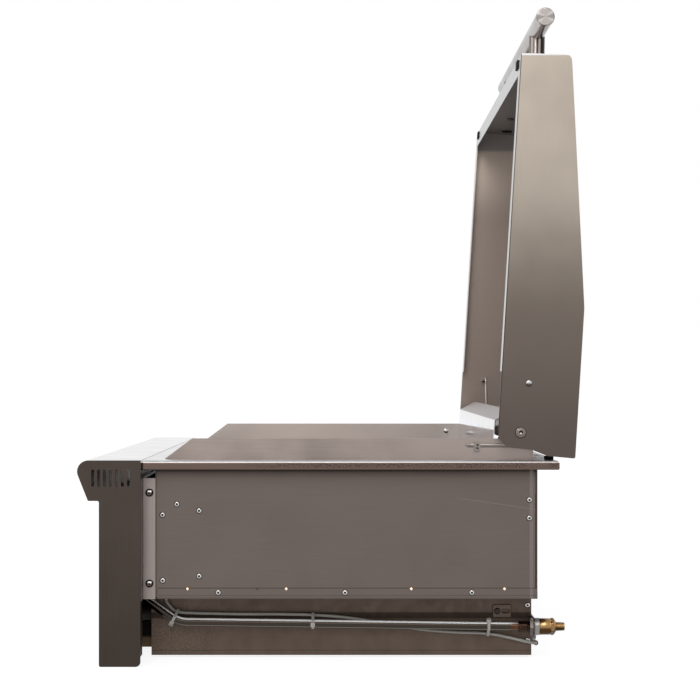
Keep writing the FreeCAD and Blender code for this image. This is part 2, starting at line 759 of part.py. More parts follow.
def make_knob():
    """Knob on the right: a tapered turned body with a grip bar, bored for the stem."""
    base = V(BURNER_SPREAD, knob_back_y, burner_z)
    front = BACK * -1
    body = Part.makeCone(KNOB_RADIUS, KNOB_RADIUS - KNOB_TAPER, KNOB_HEIGHT, base, front)
    rim = edges_at(body, lambda p: abs(p.y - knob_front_y) < 1e-6)
    body = body.makeFillet(KNOB_ROUND, rim)
    mark = block((BURNER_SPREAD - KNOB_MARK_WIDTH / 2, BURNER_SPREAD + KNOB_MARK_WIDTH / 2),
                 (knob_front_y, knob_front_y + KNOB_MARK_DEPTH),
                 (burner_z + KNOB_RADIUS / 3, burner_z + KNOB_RADIUS))
    return body.cut([mark, stem_bar(BURNER_SPREAD, knob_back_y - STEM_SEAT, knob_back_y, 0)])


def stem_bar(x, low_y, high_y, gap):
    """A round bar along Y with one flat, as the stem is cut, or wider by a gap as its hole is."""
    radius = STEM_RADIUS + gap
    bar = rod(V(x, low_y, burner_z), V(x, high_y, burner_z), radius)
    flat_z = burner_z + STEM_FLAT + gap
    flat = block((x - radius, x + radius), (low_y, high_y), (flat_z, burner_z + radius * 2))
    return bar.cut(flat)


def make_plug():
    """Right valve plug, which turns in the valve body with the stem sliding in it."""
    front = V(BURNER_SPREAD, valve_front_y, burner_z)
    plug = rod(front, front + BACK * PLUG_LENGTH, PLUG_RADIUS)
    return plug.cut(stem_bar(BURNER_SPREAD, valve_front_y, stem_back_y + PUSH_TRAVEL + CLEAR, RUNNING))


def make_valve():
    """Right valve body with its bore for the plug, its gas way and its spigot on the manifold."""
    front = V(BURNER_SPREAD, valve_front_y, burner_z)
    body = rod(front, front + BACK * VALVE_LENGTH, VALVE_RADIUS)
    below = V(BURNER_SPREAD, manifold_y, manifold_z)
    spigot = rod(below, V(BURNER_SPREAD, manifold_y, burner_z), SPIGOT_RADIUS)
    bore = rod(front, front + BACK * (PLUG_LENGTH + CLEAR), PLUG_RADIUS + RUNNING)
    gas_way = rod(front, front + BACK * VALVE_LENGTH, JET_RADIUS / 2)
    header = rod(below - RIGHT * BURNER_SPREAD, below + RIGHT * BURNER_SPREAD, MANIFOLD_RADIUS)
    return body.fuse(spigot).cut([bore, gas_way, header])


def make_jet():
    """Brass jet screwed to the back of the right valve, inside the burner's mouth."""
    start = V(BURNER_SPREAD, valve_back_y, burner_z)
    return pipe(start, start + BACK * JET_REACH, JET_RADIUS, JET_RADIUS - JET_BORE)


def make_manifold():
    """Manifold pipe with the elbow to the gas tube, on two straps that stand on the firebox floor."""
    start = V(-BURNER_SPREAD - MANIFOLD_OVERRUN, manifold_y, manifold_z)
    end = V(tube_x, manifold_y, manifold_z)
    header = rod(start, end, MANIFOLD_RADIUS)
    elbow_top = V(tube_x, manifold_y, manifold_z + ELBOW_HEIGHT / 2 + SHEET)
    elbow = rod(V(tube_x, manifold_y, elbow_under), elbow_top, ELBOW_RADIUS)
    bores = [rod(start + RIGHT * MANIFOLD_WALL, end, MANIFOLD_RADIUS - MANIFOLD_WALL),
             rod(V(tube_x, manifold_y, elbow_under), end, TUBE_RADIUS - TUBE_WALL)]
    straps = []
    for x in (-STRAP_SPREAD, STRAP_SPREAD):
        span = (x - STRAP_WIDTH / 2, x + STRAP_WIDTH / 2)
        straps.append(block(span, (manifold_y - STRAP_THICK / 2, manifold_y + STRAP_THICK / 2),
                            (floor_top, manifold_z)))
        straps.append(block(span, (manifold_y - STRAP_THICK / 2, floor_front_y + STRAP_WIDTH),
                            (floor_top, floor_top + STRAP_THICK)))
    return header.fuse([elbow] + straps).cut(bores)


def make_burner():
    """Right tube burner with air windows at its mouth, two rows of ports and a pin at its tail."""
    tail_y = box_back_y - SHEET - BURNER_TAIL_GAP
    start = V(BURNER_SPREAD, burner_front_y, burner_z)
    tail = V(BURNER_SPREAD, tail_y, burner_z)
    pin = rod(tail, V(BURNER_SPREAD, box_back_y - SHEET, burner_z), BURNER_PIN)
    hollow = rod(start, tail - BACK * BURNER_WALL, BURNER_RADIUS - BURNER_WALL)
    shell = rod(start, tail, BURNER_RADIUS).cut(hollow)
    cuts = [air_windows(BURNER_RADIUS + 1)]
    for k in range(PORT_COUNT):
        middle = V(BURNER_SPREAD, tail_y - (k + 1) * PORT_PITCH, burner_z)
        for slope in (V(1, 0, 1), V(-1, 0, 1)):
            cuts.append(rod(middle + slope, middle + slope * BURNER_RADIUS, PORT_RADIUS))
    return shell.cut(cuts).fuse(pin)


def air_windows(reach):
    """The block that cuts the air windows through the right burner's mouth and its shutter."""
    middle = burner_front_y + SHUTTER_LENGTH / 2
    return block((BURNER_SPREAD - reach, BURNER_SPREAD + reach),
                 (middle - WINDOW_LENGTH / 2, middle + WINDOW_LENGTH / 2),
                 (burner_z - WINDOW_HEIGHT / 2, burner_z + WINDOW_HEIGHT / 2))


def make_shutter():
    """Right air shutter, a sleeve on the burner's mouth."""
    start = V(BURNER_SPREAD, burner_front_y, burner_z)
    sleeve = pipe(start, start + BACK * SHUTTER_LENGTH, BURNER_RADIUS + SHUTTER_WALL, SHUTTER_WALL)
    return sleeve.cut(air_windows(BURNER_RADIUS + SHUTTER_WALL + 1))


def electrode_point(x, y):
    """A point on the axis of the electrode beside the burner at x."""
    return V(x - math.copysign(ELECTRODE_OFFSET, x), y, burner_z + ELECTRODE_RISE)


def make_electrode():
    """Right igniter electrode: a ceramic body held in the burner box's front wall, and its needle."""
    start = electrode_point(BURNER_SPREAD, box_front_y - CERAMIC_LENGTH / 4)
    end = start + BACK * CERAMIC_LENGTH
    return rod(start, end, CERAMIC_RADIUS).fuse(rod(end, end + BACK * NEEDLE_LENGTH, NEEDLE_RADIUS))


def make_igniter():
    """Igniter barrel with its front flange, bored for the button, and its ring nut."""
    face = V(0, panel_y, burner_z)
    barrel = rod(face, face + BACK * IGNITER_LENGTH, IGNITER_RADIUS)
    flange = rod(face - BACK * IGNITER_FLANGE, face, IGNITER_FLANGE_RADIUS)
    depth = BUTTON_SEAT + BUTTON_TRAVEL + CLEAR
    bore = rod(face - BACK * IGNITER_FLANGE, face + BACK * depth, BUTTON_RADIUS + RUNNING)
    nut_start = face + BACK * SHEET
    nut = pipe(nut_start, nut_start + BACK * IGNITER_NUT, IGNITER_FLANGE_RADIUS,
               IGNITER_FLANGE_RADIUS - IGNITER_RADIUS)
    return [barrel.fuse(flange).cut(bore), nut]


def make_button():
    """Igniter push button."""
    face = V(0, panel_y, burner_z)
    front_y = panel_y - IGNITER_FLANGE - BUTTON_PROUD
    button = rod(V(0, front_y, burner_z), face + BACK * BUTTON_SEAT, BUTTON_RADIUS)
    return button.makeFillet(KNOB_ROUND / 2, edges_at(button, lambda p: abs(p.y - front_y) < 1e-6))


def make_bezel():
    """Stepped ring behind the right knob."""
    face = V(BURNER_SPREAD, panel_y, burner_z)
    front = V(BURNER_SPREAD, bezel_y, burner_z)
    ring = rod(front, face, BEZEL_RADIUS)
    ring = ring.makeFillet(BEZEL_THICK / 2, edges_at(ring, lambda p: abs(p.y - bezel_y) < 1e-6))
    recess = rod(front, front + BACK * (BEZEL_THICK / 2), BEZEL_RADIUS - BEZEL_STEP)
    return ring.cut([recess, rod(front, face, STEM_HOLE_RADIUS)])


def make_housing():
    """Tray housing below the firebox, one sheet folded round three sides."""
    corners = [(housing_x, housing_front_y, 0), (housing_x, housing_back_y, SHEET_BEND),
               (-housing_x, housing_back_y, SHEET_BEND), (-housing_x, housing_front_y, 0)]
    return extruded(folded(corners, SHEET, PLAN), PLAN, housing_under, floor_under)


def make_runner():
    """Right angle that the drip tray slides on."""
    span = (housing_front_y + RUNNER_END_GAP, housing_back_y - SHEET - RUNNER_END_GAP)
    shelf = block((housing_in_x - RUNNER_LEG, housing_in_x), span, (runner_top - SHEET, runner_top))
    leg = block((housing_in_x - SHEET, housing_in_x), span, (runner_top - RUNNER_LEG, runner_top))
    return shelf.fuse(leg)


tray_flange_x = housing_in_x - TRAY_SIDE_GAP
tray_x = housing_in_x - RUNNER_LEG - TRAY_SIDE_GAP
tray_front_top = tray_flange_top + TRAY_FRONT_RISE
tray_front_under = tray_under - TRAY_FRONT_DROP
stem_back_y = valve_front_y + PLUG_LENGTH / 2


def make_tray():
    """Drip tray: a tub with side flanges on the runners, and a front plate with a finger slot."""
    back = housing_back_y - SHEET - TRAY_BACK_GAP
    tub = block((-tray_x, tray_x), (panel_in_y, back), (tray_under, tray_flange_top))
    hollow = block((-tray_x + TRAY_SHEET, tray_x - TRAY_SHEET), (panel_in_y - 1, back - TRAY_SHEET),
                   (tray_under + TRAY_SHEET, tray_flange_top + 1))
    flange = block((-tray_flange_x, tray_flange_x), (panel_in_y, back), (tray_flange_under, tray_flange_top))
    front = block((-tray_flange_x, tray_flange_x), (panel_y, panel_in_y), (tray_front_under, tray_front_top))
    pull_top = tray_flange_top - PULL_DROP
    slot = rounded((-PULL_WIDTH / 2, PULL_WIDTH / 2), (pull_top - PULL_HEIGHT, pull_top),
                   PULL_HEIGHT / 2.01, FRONT)
    pull = extruded(slot, FRONT, panel_y - 1, panel_in_y + 1)
    return tub.fuse(flange).cut(hollow).fuse(front).cut(pull)


def make_level_bracket():
    """Slotted adjusting plate on the housing's right wall, with its screw."""
    back = housing_back_y - LEVEL_BACK
    top = floor_under - LEVEL_DROP
    middle_z = top - LEVEL_HEIGHT / 2
    front_x = housing_x + LEVEL_THICK
    face = rounded((back, back + LEVEL_LENGTH), (top - LEVEL_HEIGHT, top), SHEET_BEND, SIDE)
    slot_end = back + LEVEL_LENGTH - LEVEL_SLOT_WIDTH / 2
    half = LEVEL_SLOT_WIDTH / 2
    slot = rounded((slot_end - LEVEL_SLOT, slot_end), (middle_z - half, middle_z + half), half / 1.01, SIDE)
    screw = cross_screw(PAN_RADIUS, PAN_HEIGHT, SHANK_SCREW_RADIUS, LEVEL_THICK)
    screw_y = back + PAN_RADIUS * 1.5
    hole = rod(V(housing_x, screw_y, middle_z), V(front_x, screw_y, middle_z), SHANK_SCREW_RADIUS)
    plate = extruded(face, SIDE, housing_x, front_x)
    plate = plate.cut([extruded(slot, SIDE, housing_x - 1, front_x + 1), hole])
    return [plate, at(screw, front_x, screw_y, middle_z)]


def tube_corners():
    """The gas tube's way, as points with bend radii."""
    return [(V(tube_x, manifold_y, elbow_under), 0), (V(tube_x, manifold_y, tube_knee_z), TUBE_KNEE),
            (V(tube_x, tube_run_y, tube_run_z), TUBE_BEND * 2),
            (V(tube_x, shank_y - TUBE_LEVEL_END, inlet_z), TUBE_BEND * 20), (V(tube_x, shank_y, inlet_z), 0)]


def make_tube():
    """Gas tube along the housing's right wall."""
    start = V(tube_x, manifold_y, elbow_under)
    rings = [Part.Wire(Part.makeCircle(radius, start, UP))
             for radius in (TUBE_RADIUS, TUBE_RADIUS - TUBE_WALL)]
    return run(tube_corners()).makePipe(Part.Face(rings))


def make_inlet_tab():
    """Bracket on the housing's back that the gas inlet passes through."""
    end_x = tube_x + TAB_OVERRUN
    low = inlet_z - TAB_HEIGHT / 2
    high = inlet_z + TAB_HEIGHT / 2
    corners = [(housing_x - TAB_LAP, low, 0), (end_x, low, TAB_HEIGHT / 3), (end_x, high, TAB_HEIGHT / 3),
               (housing_x - TAB_LAP, high, 0)]
    tab = extruded(outline(corners, FRONT), FRONT, tab_y, tab_y + TAB_THICK)
    through = rod(V(tube_x, tab_y - 1, inlet_z), V(tube_x, tab_y + TAB_THICK + 1, inlet_z), SHANK_RADIUS)
    return tab.cut(through)


def make_inlet_rings():
    """Brazed sleeve on the tube's end, lock nut before the bracket and washer behind it."""
    end = V(tube_x, shank_y, inlet_z)
    sleeve = pipe(end - BACK * SLEEVE_LENGTH, end, TUBE_RADIUS + SLEEVE_WALL, SLEEVE_WALL)
    before = V(tube_x, tab_y - LOCK_NUT_HEIGHT, inlet_z)
    behind = V(tube_x, tab_y + TAB_THICK, inlet_z)
    through = rod(end, behind + BACK * INLET_WASHER, SHANK_RADIUS)
    nut = hexagon(before, BACK, LOCK_NUT_ACROSS, LOCK_NUT_HEIGHT).cut(through)
    washer = rod(behind, behind + BACK * INLET_WASHER, INLET_WASHER_RADIUS).cut(through)
    return [sleeve, nut, washer]


def make_inlet():
    """Brass inlet: threaded shank, round body, hexagon and the end that a gas hose screws on."""
    shank = V(tube_x, shank_y, inlet_z)
    body = V(tube_x, tab_y + TAB_THICK + INLET_WASHER, inlet_z)
    hexagon_start = body + BACK * INLET_BODY
    end = hexagon_start + BACK * INLET_HEX
    tip = end + BACK * INLET_END
    fitting = rod(shank, body, SHANK_RADIUS).fuse([
        rod(body, hexagon_start, INLET_BODY_RADIUS),
        hexagon(hexagon_start, BACK, INLET_HEX_ACROSS, INLET_HEX),
        rod(end, tip, INLET_END_RADIUS)])
    return fitting.cut(rod(shank, tip, INLET_BORE))


def lead_entry(z):
    """A point on the vertical line where the power lead comes down through the floor."""
    return V(housing_x + LEAD_OUT, front_y + LEAD_SETBACK, z)


def lead_points():
    """The power lead's way: out of the floor, over the tube, behind it, below it and round the back."""
    wall = housing_x
    back = housing_back_y
    along = [V(wall + out, front_y + share * (back - front_y), tube_run_z + rise)
             for share, out, rise in LEAD_RUN]
    turn = [V(wall + out, back + behind, tube_run_z + rise) for behind, out, rise in LEAD_TURN]
    end = V(wall - LEAD_END, back + CONNECTOR_RADIUS + CLEAR, tube_run_z + LEAD_TURN[-1][2])
    return [lead_entry(floor_top + LEAD_STUB), lead_entry(floor_under - LEAD_STUB)] + along + turn + [end]


def lead_corners():
    """The lead's points with the largest arc that each pair of runs leaves room for."""
    points = lead_points()
    corners = [(points[0], 0)]
    for before, point, after in zip(points, points[1:], points[2:]):
        shorter = min((point - before).Length, (after - point).Length)
        turn = (point - before).getAngle(after - point)
        corners.append((point, LEAD_BEND_SHARE * shorter / math.tan(turn / 2)))
    return corners + [(points[-1], 0)]


def make_lead():
    """Power lead, tied to the gas tube and clipped round the housing's rear corner."""
    corners = lead_corners()
    way = run(corners)
    disc = Part.Face(Part.Wire(Part.makeCircle(LEAD_RADIUS, corners[0][0], UP)))
    lead = way.makePipe(disc)
    radii = [round(radius) for point, radius in corners[1:-1]]
    print("lead length", round(way.Length), "bend radii", radii,
          "volume share", round(lead.Volume / (math.pi * LEAD_RADIUS ** 2 * way.Length), 4))
    return lead


def point_on(wire, y):
    """The point of a wire at a given y, from close points along it."""
    return min(wire.discretize(Distance=0.5), key=lambda p: abs(p.y - y))


def belt(first, first_radius, second, second_radius):
    """The face inside a tight belt round two circles that lie across Y."""
    across = second - first
    facing = math.atan2(across.z, across.x)
    spread = math.acos((first_radius - second_radius) / across.Length)

    def rim_point(centre, radius, angle):
        return centre + V(radius * math.cos(angle), 0, radius * math.sin(angle))
    a, b = (rim_point(first, first_radius, facing + s * spread) for s in (1, -1))
    c, d = (rim_point(second, second_radius, facing + s * spread) for s in (1, -1))
    return Part.Face(Part.Wire([
        Part.makeLine(a, c), Part.Arc(c, rim_point(second, second_radius, facing), d).toShape(),
        Part.makeLine(d, b), Part.Arc(b, rim_point(first, first_radius, facing + math.pi), a).toShape()]))


def make_ties():
    """Cable ties round the gas tube and the lead, each with its head."""
    tube_way = run(tube_corners())
    lead_way = run(lead_corners())
    ties = []
    for k, share in enumerate(TIE_SHARES):
        y = front_y + share * (housing_back_y - front_y)
        tube_point = point_on(tube_way, y)
        lead_point = point_on(lead_way, y)
        lead_point.y = tube_point.y
        loops = [belt(tube_point, TUBE_RADIUS + gap, lead_point, LEAD_RADIUS + gap)
                 for gap in (TIE_SLACK, TIE_SLACK + TIE_THICK)]
        band = loops[1].cut(loops[0]).extrude(BACK * TIE_WIDTH)
        reach = TUBE_RADIUS + TIE_SLACK + TIE_THICK / 2
        side = V(*TIE_HEADS[k]).normalize()
        head_corner = V(0, (TIE_WIDTH - TIE_HEAD) / 2, -TIE_HEAD / 2)
        head = Part.makeBox(TIE_HEAD_HEIGHT, TIE_HEAD, TIE_HEAD, head_corner)
        head.Placement = FreeCAD.Placement(tube_point + side * reach, FreeCAD.Rotation(RIGHT, side))
        bore = rod(tube_point - BACK * TIE_HEAD, tube_point + BACK * TIE_HEAD * 2, TUBE_RADIUS + TIE_SLACK)
        tie = band.fuse(head.cut(bore))
        tie.translate(BACK * (-TIE_WIDTH / 2))
        slope = tube_way_slope(tube_way, y)
        ties.append(tie.rotated(tube_point, RIGHT, slope))
    return ties


def tube_way_slope(wire, y):
    """How steeply a wire climbs at a given y, in degrees about X."""
    before = point_on(wire, y - 2)
    after = point_on(wire, y + 2)
    return math.degrees(math.atan2(after.z - before.z, after.y - before.y))


def make_lead_fixings():
    """Grommet in the floor, clamp behind the housing's rear corner and saddle over the connector."""
    low = floor_under - GROMMET_FLANGE
    high = floor_top + GROMMET_FLANGE
    grommet = rod(lead_entry(low), lead_entry(floor_under), GROMMET_RADIUS).fuse([
        rod(lead_entry(floor_under), lead_entry(floor_top), GROMMET_NECK),
        rod(lead_entry(floor_top), lead_entry(high), GROMMET_RADIUS)])
    grommet = grommet.cut(rod(lead_entry(low), lead_entry(high), LEAD_RADIUS))

    corner, beyond = lead_points()[-3:-1]
    middle = corner + (beyond - corner) * CLAMP_SHARE
    along = (beyond - corner).normalize()
    start = middle - along * (CLAMP_WIDTH / 2)
    ring = pipe(start, start + along * CLAMP_WIDTH, LEAD_RADIUS + CLAMP_WALL, CLAMP_WALL)
    width = (middle.x - CLAMP_WIDTH / 2, middle.x + CLAMP_WIDTH / 2)
    ear_z = middle.z + LEAD_RADIUS
    ear = block(width, (housing_back_y, middle.y), (ear_z, ear_z + CLAMP_WALL))
    foot = block(width, (housing_back_y, housing_back_y + CLAMP_WALL), (ear_z, ear_z + CLAMP_WIDTH))
    through = rod(start - along * CLAMP_WIDTH, start + along * CLAMP_WIDTH * 2, LEAD_RADIUS + CLAMP_SLACK)
    clamp = ring.fuse([ear, foot]).cut(through)

    end = lead_points()[-1]
    span = (end.x - CONNECTOR_LENGTH / 2 - SADDLE_WIDTH, end.x - CONNECTOR_LENGTH / 2)
    outer = CONNECTOR_RADIUS + CLAMP_WALL
    arch = block(span, (housing_back_y, end.y), (end.z - outer, end.z + outer)).fuse([
        rod(V(span[0], end.y, end.z), V(span[1], end.y, end.z), outer),
        block(span, (housing_back_y, housing_back_y + CLAMP_WALL),
              (end.z - outer, end.z + outer + SADDLE_FOOT))])
    core = block(span, (housing_back_y, end.y), (end.z - CONNECTOR_RADIUS, end.z + CONNECTOR_RADIUS)).fuse(
        rod(V(span[0], end.y, end.z), V(span[1], end.y, end.z), CONNECTOR_RADIUS))
    wall = block(span, (housing_back_y - outer, housing_back_y), (end.z - outer * 2, end.z + outer * 2))
    return [grommet, clamp, arch.cut([core, wall])]


def make_connector():
    """Round two-part connector on the end of the power lead."""
    end = lead_points()[-1]
    left = RIGHT * -1
    neck = Part.makeCone(LEAD_RADIUS * 1.4, CONNECTOR_RADIUS, CONNECTOR_NECK, end, left)
    start = end + left * CONNECTOR_NECK
    return neck.fuse(rod(start, start + left * CONNECTOR_LENGTH, CONNECTOR_RADIUS))


def make_hood_shell():
    """Hood shell: lip, face, crowned top and tail flange folded from one sheet."""
    corners = [(hood_front_y + LIP_DEPTH, hood_edge_z, 0), (hood_front_y, hood_edge_z, SHEET_BEND),
               hood_top_front + (HOOD_CORNER,), hood_crown + (CROWN_RADIUS,),
               hood_tail + (TAIL_CORNER,), hood_tail_end + (0,)]
    shell = extruded(folded(corners, -SHEET, SIDE), SIDE, -hood_in_x, hood_in_x)
    holes = []
    for x in (-POST_SPREAD, POST_SPREAD):
        foot = post_foot(x)
        holes.append(rod(foot + face_out, foot - face_out * (SHEET + 1), POST_SCREW_RADIUS))
    return opened(shell.cut(holes))


def make_hood_side():
    """Right hood side with the flange along its lower edge and the holes for pivot and spring screw."""
    corners = [(hood_front_y, hood_edge_z, SHEET_BEND), hood_top_front + (HOOD_CORNER,),
               hood_crown + (CROWN_RADIUS,), hood_tail + (TAIL_CORNER,), hood_tail_end + (SHEET,),
               (pivot_y + NECK_SETBACK, pivot_z + NECK_RISE, NECK_ROUND),
               (pivot_y + HEEL_SETBACK, hood_edge_z, HEEL_RADIUS)]
    side = extruded(outline(corners, SIDE), SIDE, hood_in_x, hood_x)
    flange = block((hood_x - SIDE_LIP, hood_in_x), (hood_front_y + LIP_DEPTH, pivot_y - SIDE_LIP_STOP),
                   (hood_edge_z, hood_edge_z + SHEET))
    screw = V(hood_in_x - 1, pivot_y - SPRING_SCREW_FRONT, pivot_z + SPRING_SCREW_RISE)
    pivot = V(hood_in_x - 1, pivot_y, pivot_z)
    reach = RIGHT * (SHEET + 2)
    return opened(side.fuse(flange).cut([rod(pivot, pivot + reach, BOLT_RADIUS),
                                         rod(screw, screw + reach, SPRING_SCREW_RADIUS)]))


def post_foot(x):
    """Where a handle post's axis meets the closed hood's face."""
    return hood_corner + face_up * HANDLE_RISE + RIGHT * x


def handle_axis(x):
    """A point on the handle bar's axis, with the hood closed."""
    return post_foot(x) + face_out * HANDLE_STANDOFF


def make_handle():
    """Handle bar, a tube."""
    half = HANDLE_LENGTH / 2 - HANDLE_CAP
    return opened(pipe(handle_axis(-half), handle_axis(half), HANDLE_RADIUS, HANDLE_WALL))


def make_handle_cap():
    """Right end cap of the handle, with a plug that fits the bar."""
    half = HANDLE_LENGTH / 2
    cap = rod(handle_axis(half - HANDLE_CAP), handle_axis(half), HANDLE_RADIUS)
    cap = cap.makeFillet(HANDLE_WALL, edges_at(cap, lambda p: abs(p.x - half) < 1e-6))
    plug = rod(handle_axis(half - HANDLE_CAP * 3), handle_axis(half - HANDLE_CAP),
               HANDLE_RADIUS - HANDLE_WALL)
    return opened(cap.fuse(plug))


def make_post():
    """Right handle post, saddled to the bar and drilled for its screw."""
    foot = post_foot(POST_SPREAD)
    post = rod(foot, handle_axis(POST_SPREAD), POST_RADIUS)
    bar = rod(handle_axis(POST_SPREAD - POST_RADIUS * 2), handle_axis(POST_SPREAD + POST_RADIUS * 2),
              HANDLE_RADIUS)
    return opened(post.cut([bar, rod(foot, foot + face_out * POST_SCREW_DEPTH, POST_SCREW_RADIUS)]))


def make_post_screw():
    """Screw from inside the hood's face into the right handle post."""
    seat = post_foot(POST_SPREAD) - face_out * SHEET
    screw = cross_screw(PAN_RADIUS * 1.4, PAN_HEIGHT, POST_SCREW_RADIUS, SHEET + POST_SCREW_DEPTH)
    screw.Placement = FreeCAD.Placement(seat, FreeCAD.Rotation(RIGHT, face_out * -1))
    return opened(screw)


def make_spring_screw():
    """Screw in the right hood side that the spring's upper leg bears on."""
    screw = cross_screw(PAN_RADIUS, PAN_HEIGHT, SPRING_SCREW_RADIUS, SHEET + SPRING_SCREW_REACH)
    return opened(at(screw, hood_x, pivot_y - SPRING_SCREW_FRONT, pivot_z + SPRING_SCREW_RISE))


def make_lip_pad():
    """Right rubber pad under the hood's lip, which the closed hood rests on."""
    x = (LIP_PAD_SPREAD - LIP_PAD_LENGTH / 2, LIP_PAD_SPREAD + LIP_PAD_LENGTH / 2)
    middle = hood_front_y + LIP_PAD_INSET
    y = (middle - LIP_PAD_WIDTH / 2, middle + LIP_PAD_WIDTH / 2)
    pad = rounded(x, y, LIP_PAD_ROUND, PLAN)
    fall = (pivot_y - hood_front_y) * math.sin(math.radians(CLOSE_OVERRUN))
    return opened(extruded(pad, PLAN, rim_top + fall + CLEAR, hood_edge_z))


def make_plug_pad():
    """Right round rubber pad on the inside of the hood's face."""
    seat = hood_corner + face_up * PLUG_PAD_RISE + RIGHT * PLUG_PAD_SPREAD - face_out * SHEET
    pad = domed(PLUG_PAD_RADIUS, PLUG_PAD_THICK, PLUG_PAD_THICK / 2)
    pad.Placement = FreeCAD.Placement(seat, FreeCAD.Rotation(RIGHT, face_out * -1))
    return opened(pad)


def make_hood_stop():
    """Right rubber stop on the rim, under the open hood's tail flange."""
    near = opened_point(*hood_tail_end)
    far = opened_point(*hood_tail)
    span = (near[0], near[0] + STOP_DEPTH)
    low = near[1] + (far[1] - near[1]) * STOP_DEPTH / (far[0] - near[0])
    return block((STOP_SPREAD - STOP_LENGTH / 2, STOP_SPREAD + STOP_LENGTH / 2), span, (rim_top, low - CLEAR))


def pivot_point(x):
    """A point on the hood's pivot axis."""
    return V(x, pivot_y, pivot_z)


def make_pivot_bolt():
    """Right pivot bolt from the hood side inwards, with a button head over its washer."""
    head_x = hood_x + WASHER_THICK
    tail_x = cook_x - CLEAR - NUT_HEIGHT - BOLT_TAIL
    button = domed(BOLT_HEAD_RADIUS, BOLT_HEAD_HEIGHT, BOLT_HEAD_HEIGHT * RECESS_SHARE)
    socket = hexagon(V(BOLT_HEAD_HEIGHT - BOLT_SOCKET_DEPTH, 0, 0), RIGHT, BOLT_SOCKET_ACROSS,
                     BOLT_SOCKET_DEPTH)
    return rod(pivot_point(tail_x), pivot_point(head_x), BOLT_RADIUS).fuse(
        at(button.cut(socket), head_x, pivot_y, pivot_z))


def make_pivot_rings():
    """Washer under the right bolt's head and the spacer between hood side and bush."""
    washer = pipe(pivot_point(hood_x), pivot_point(hood_x + WASHER_THICK), WASHER_RADIUS,
                  WASHER_RADIUS - BOLT_RADIUS)
    spacer = pipe(pivot_point(guard_x + BUSH_FLANGE + CLEAR), pivot_point(hood_in_x), SPACER_RADIUS,
                  SPACER_RADIUS - BOLT_RADIUS)
    return [washer, spacer]


def make_pivot_nut():
    """Lock nut on the right pivot bolt, inside the guard's ear."""
    outer = cook_x - CLEAR
    nut = hexagon(pivot_point(outer - NUT_HEIGHT), RIGHT, NUT_ACROSS, NUT_HEIGHT)
    return nut.cut(rod(pivot_point(outer - NUT_HEIGHT), pivot_point(outer), BOLT_RADIUS))


def make_bush():
    """Flanged bush in the right guard's ear, which the pivot bolt turns in."""
    outer = guard_x + BUSH_FLANGE
    bush = rod(pivot_point(cook_x), pivot_point(guard_x), BUSH_RADIUS).fuse(
        rod(pivot_point(guard_x), pivot_point(outer), BUSH_FLANGE_RADIUS))
    return bush.cut(rod(pivot_point(cook_x), pivot_point(outer), BOLT_RADIUS + RUNNING))


def biarc(start, start_way, end, end_way):
    """Two arcs in space that leave start and reach end along the given directions."""
    chord = end - start
    ways = start_way + end_way
    spread = 2 * (1 - start_way.dot(end_way))
    along = chord.dot(ways)
    reach = (math.sqrt(along * along + spread * chord.dot(chord)) - along) / spread
    first = start + start_way * reach
    last = end - end_way * reach
    joint = (first + last) * 0.5
    arcs = []
    for a, corner, b in ((start, first, joint), (joint, last, end)):
        middle = (a + b) * 0.5
        half = (b - a).Length / 2
        rise = corner - middle
        bow = half * math.tan(math.atan2(rise.Length, half) / 2)
        arcs.append(Part.Arc(a, middle + rise.normalize() * bow, b).toShape())
    return arcs


def make_spring():
    """Right torsion spring: a leg along the guard, the coil round the pivot, a leg up to its screw."""
    start_x = guard_x + CLEAR + WIRE_RADIUS
    screw_y, screw_z = opened_point(pivot_y - SPRING_SCREW_FRONT, pivot_z + SPRING_SCREW_RISE)
    reach = math.hypot(screw_y - pivot_y, screw_z - pivot_z)
    facing = math.atan2(screw_z - pivot_z, screw_y - pivot_y)
    pass_by = SPRING_SCREW_RADIUS + WIRE_RADIUS + CLEAR
    last_angle = facing - math.acos((SPRING_RADIUS - pass_by) / reach)
    first_angle = -math.pi / 2
    total = last_angle - first_angle + 2 * math.pi * SPRING_TURNS
    steps = round(total / (math.pi / 2))
    climb = SPRING_PITCH / (2 * math.pi)

    def coil_point(k):
        angle = first_angle + total * k / steps
        return V(start_x + climb * (angle - first_angle), pivot_y + SPRING_RADIUS * math.cos(angle),
                 pivot_z + SPRING_RADIUS * math.sin(angle))

    def coil_way(k):
        angle = first_angle + total * k / steps
        lift = climb if 0 < k < steps else 0
        return V(lift, -SPRING_RADIUS * math.sin(angle), SPRING_RADIUS * math.cos(angle)).normalize()
    leg_start = coil_point(0) - coil_way(0) * SPRING_LEG
    leg_end = coil_point(steps) + coil_way(steps) * (reach * math.sin(last_angle - facing) * -1 + SPRING_HOOK)
    edges = [Part.makeLine(leg_start, coil_point(0))]
    for k in range(steps):
        edges += biarc(coil_point(k), coil_way(k), coil_point(k + 1), coil_way(k + 1))
    edges.append(Part.makeLine(coil_point(steps), leg_end))
    way = Part.Wire(edges)
    sweep = Part.BRepOffsetAPI.MakePipeShell(way)
    sweep.add(Part.Wire(Part.makeCircle(WIRE_RADIUS, leg_start, coil_way(0))))
    sweep.build()
    sweep.makeSolid()
    print("spring least gap to itself", round(self_gap(way), 2))
    return sweep.shape()


def self_gap(way):
    """The least gap between stretches of wire that are more than a quarter turn apart."""
    step = 2.0
    points = way.discretize(Distance=step)
    apart = int(SPRING_RADIUS * math.pi / 2 / step)
    least = min((points[j] - points[i]).Length for i in range(len(points))
                for j in range(i + apart, len(points)))
    return least - 2 * WIRE_RADIUS


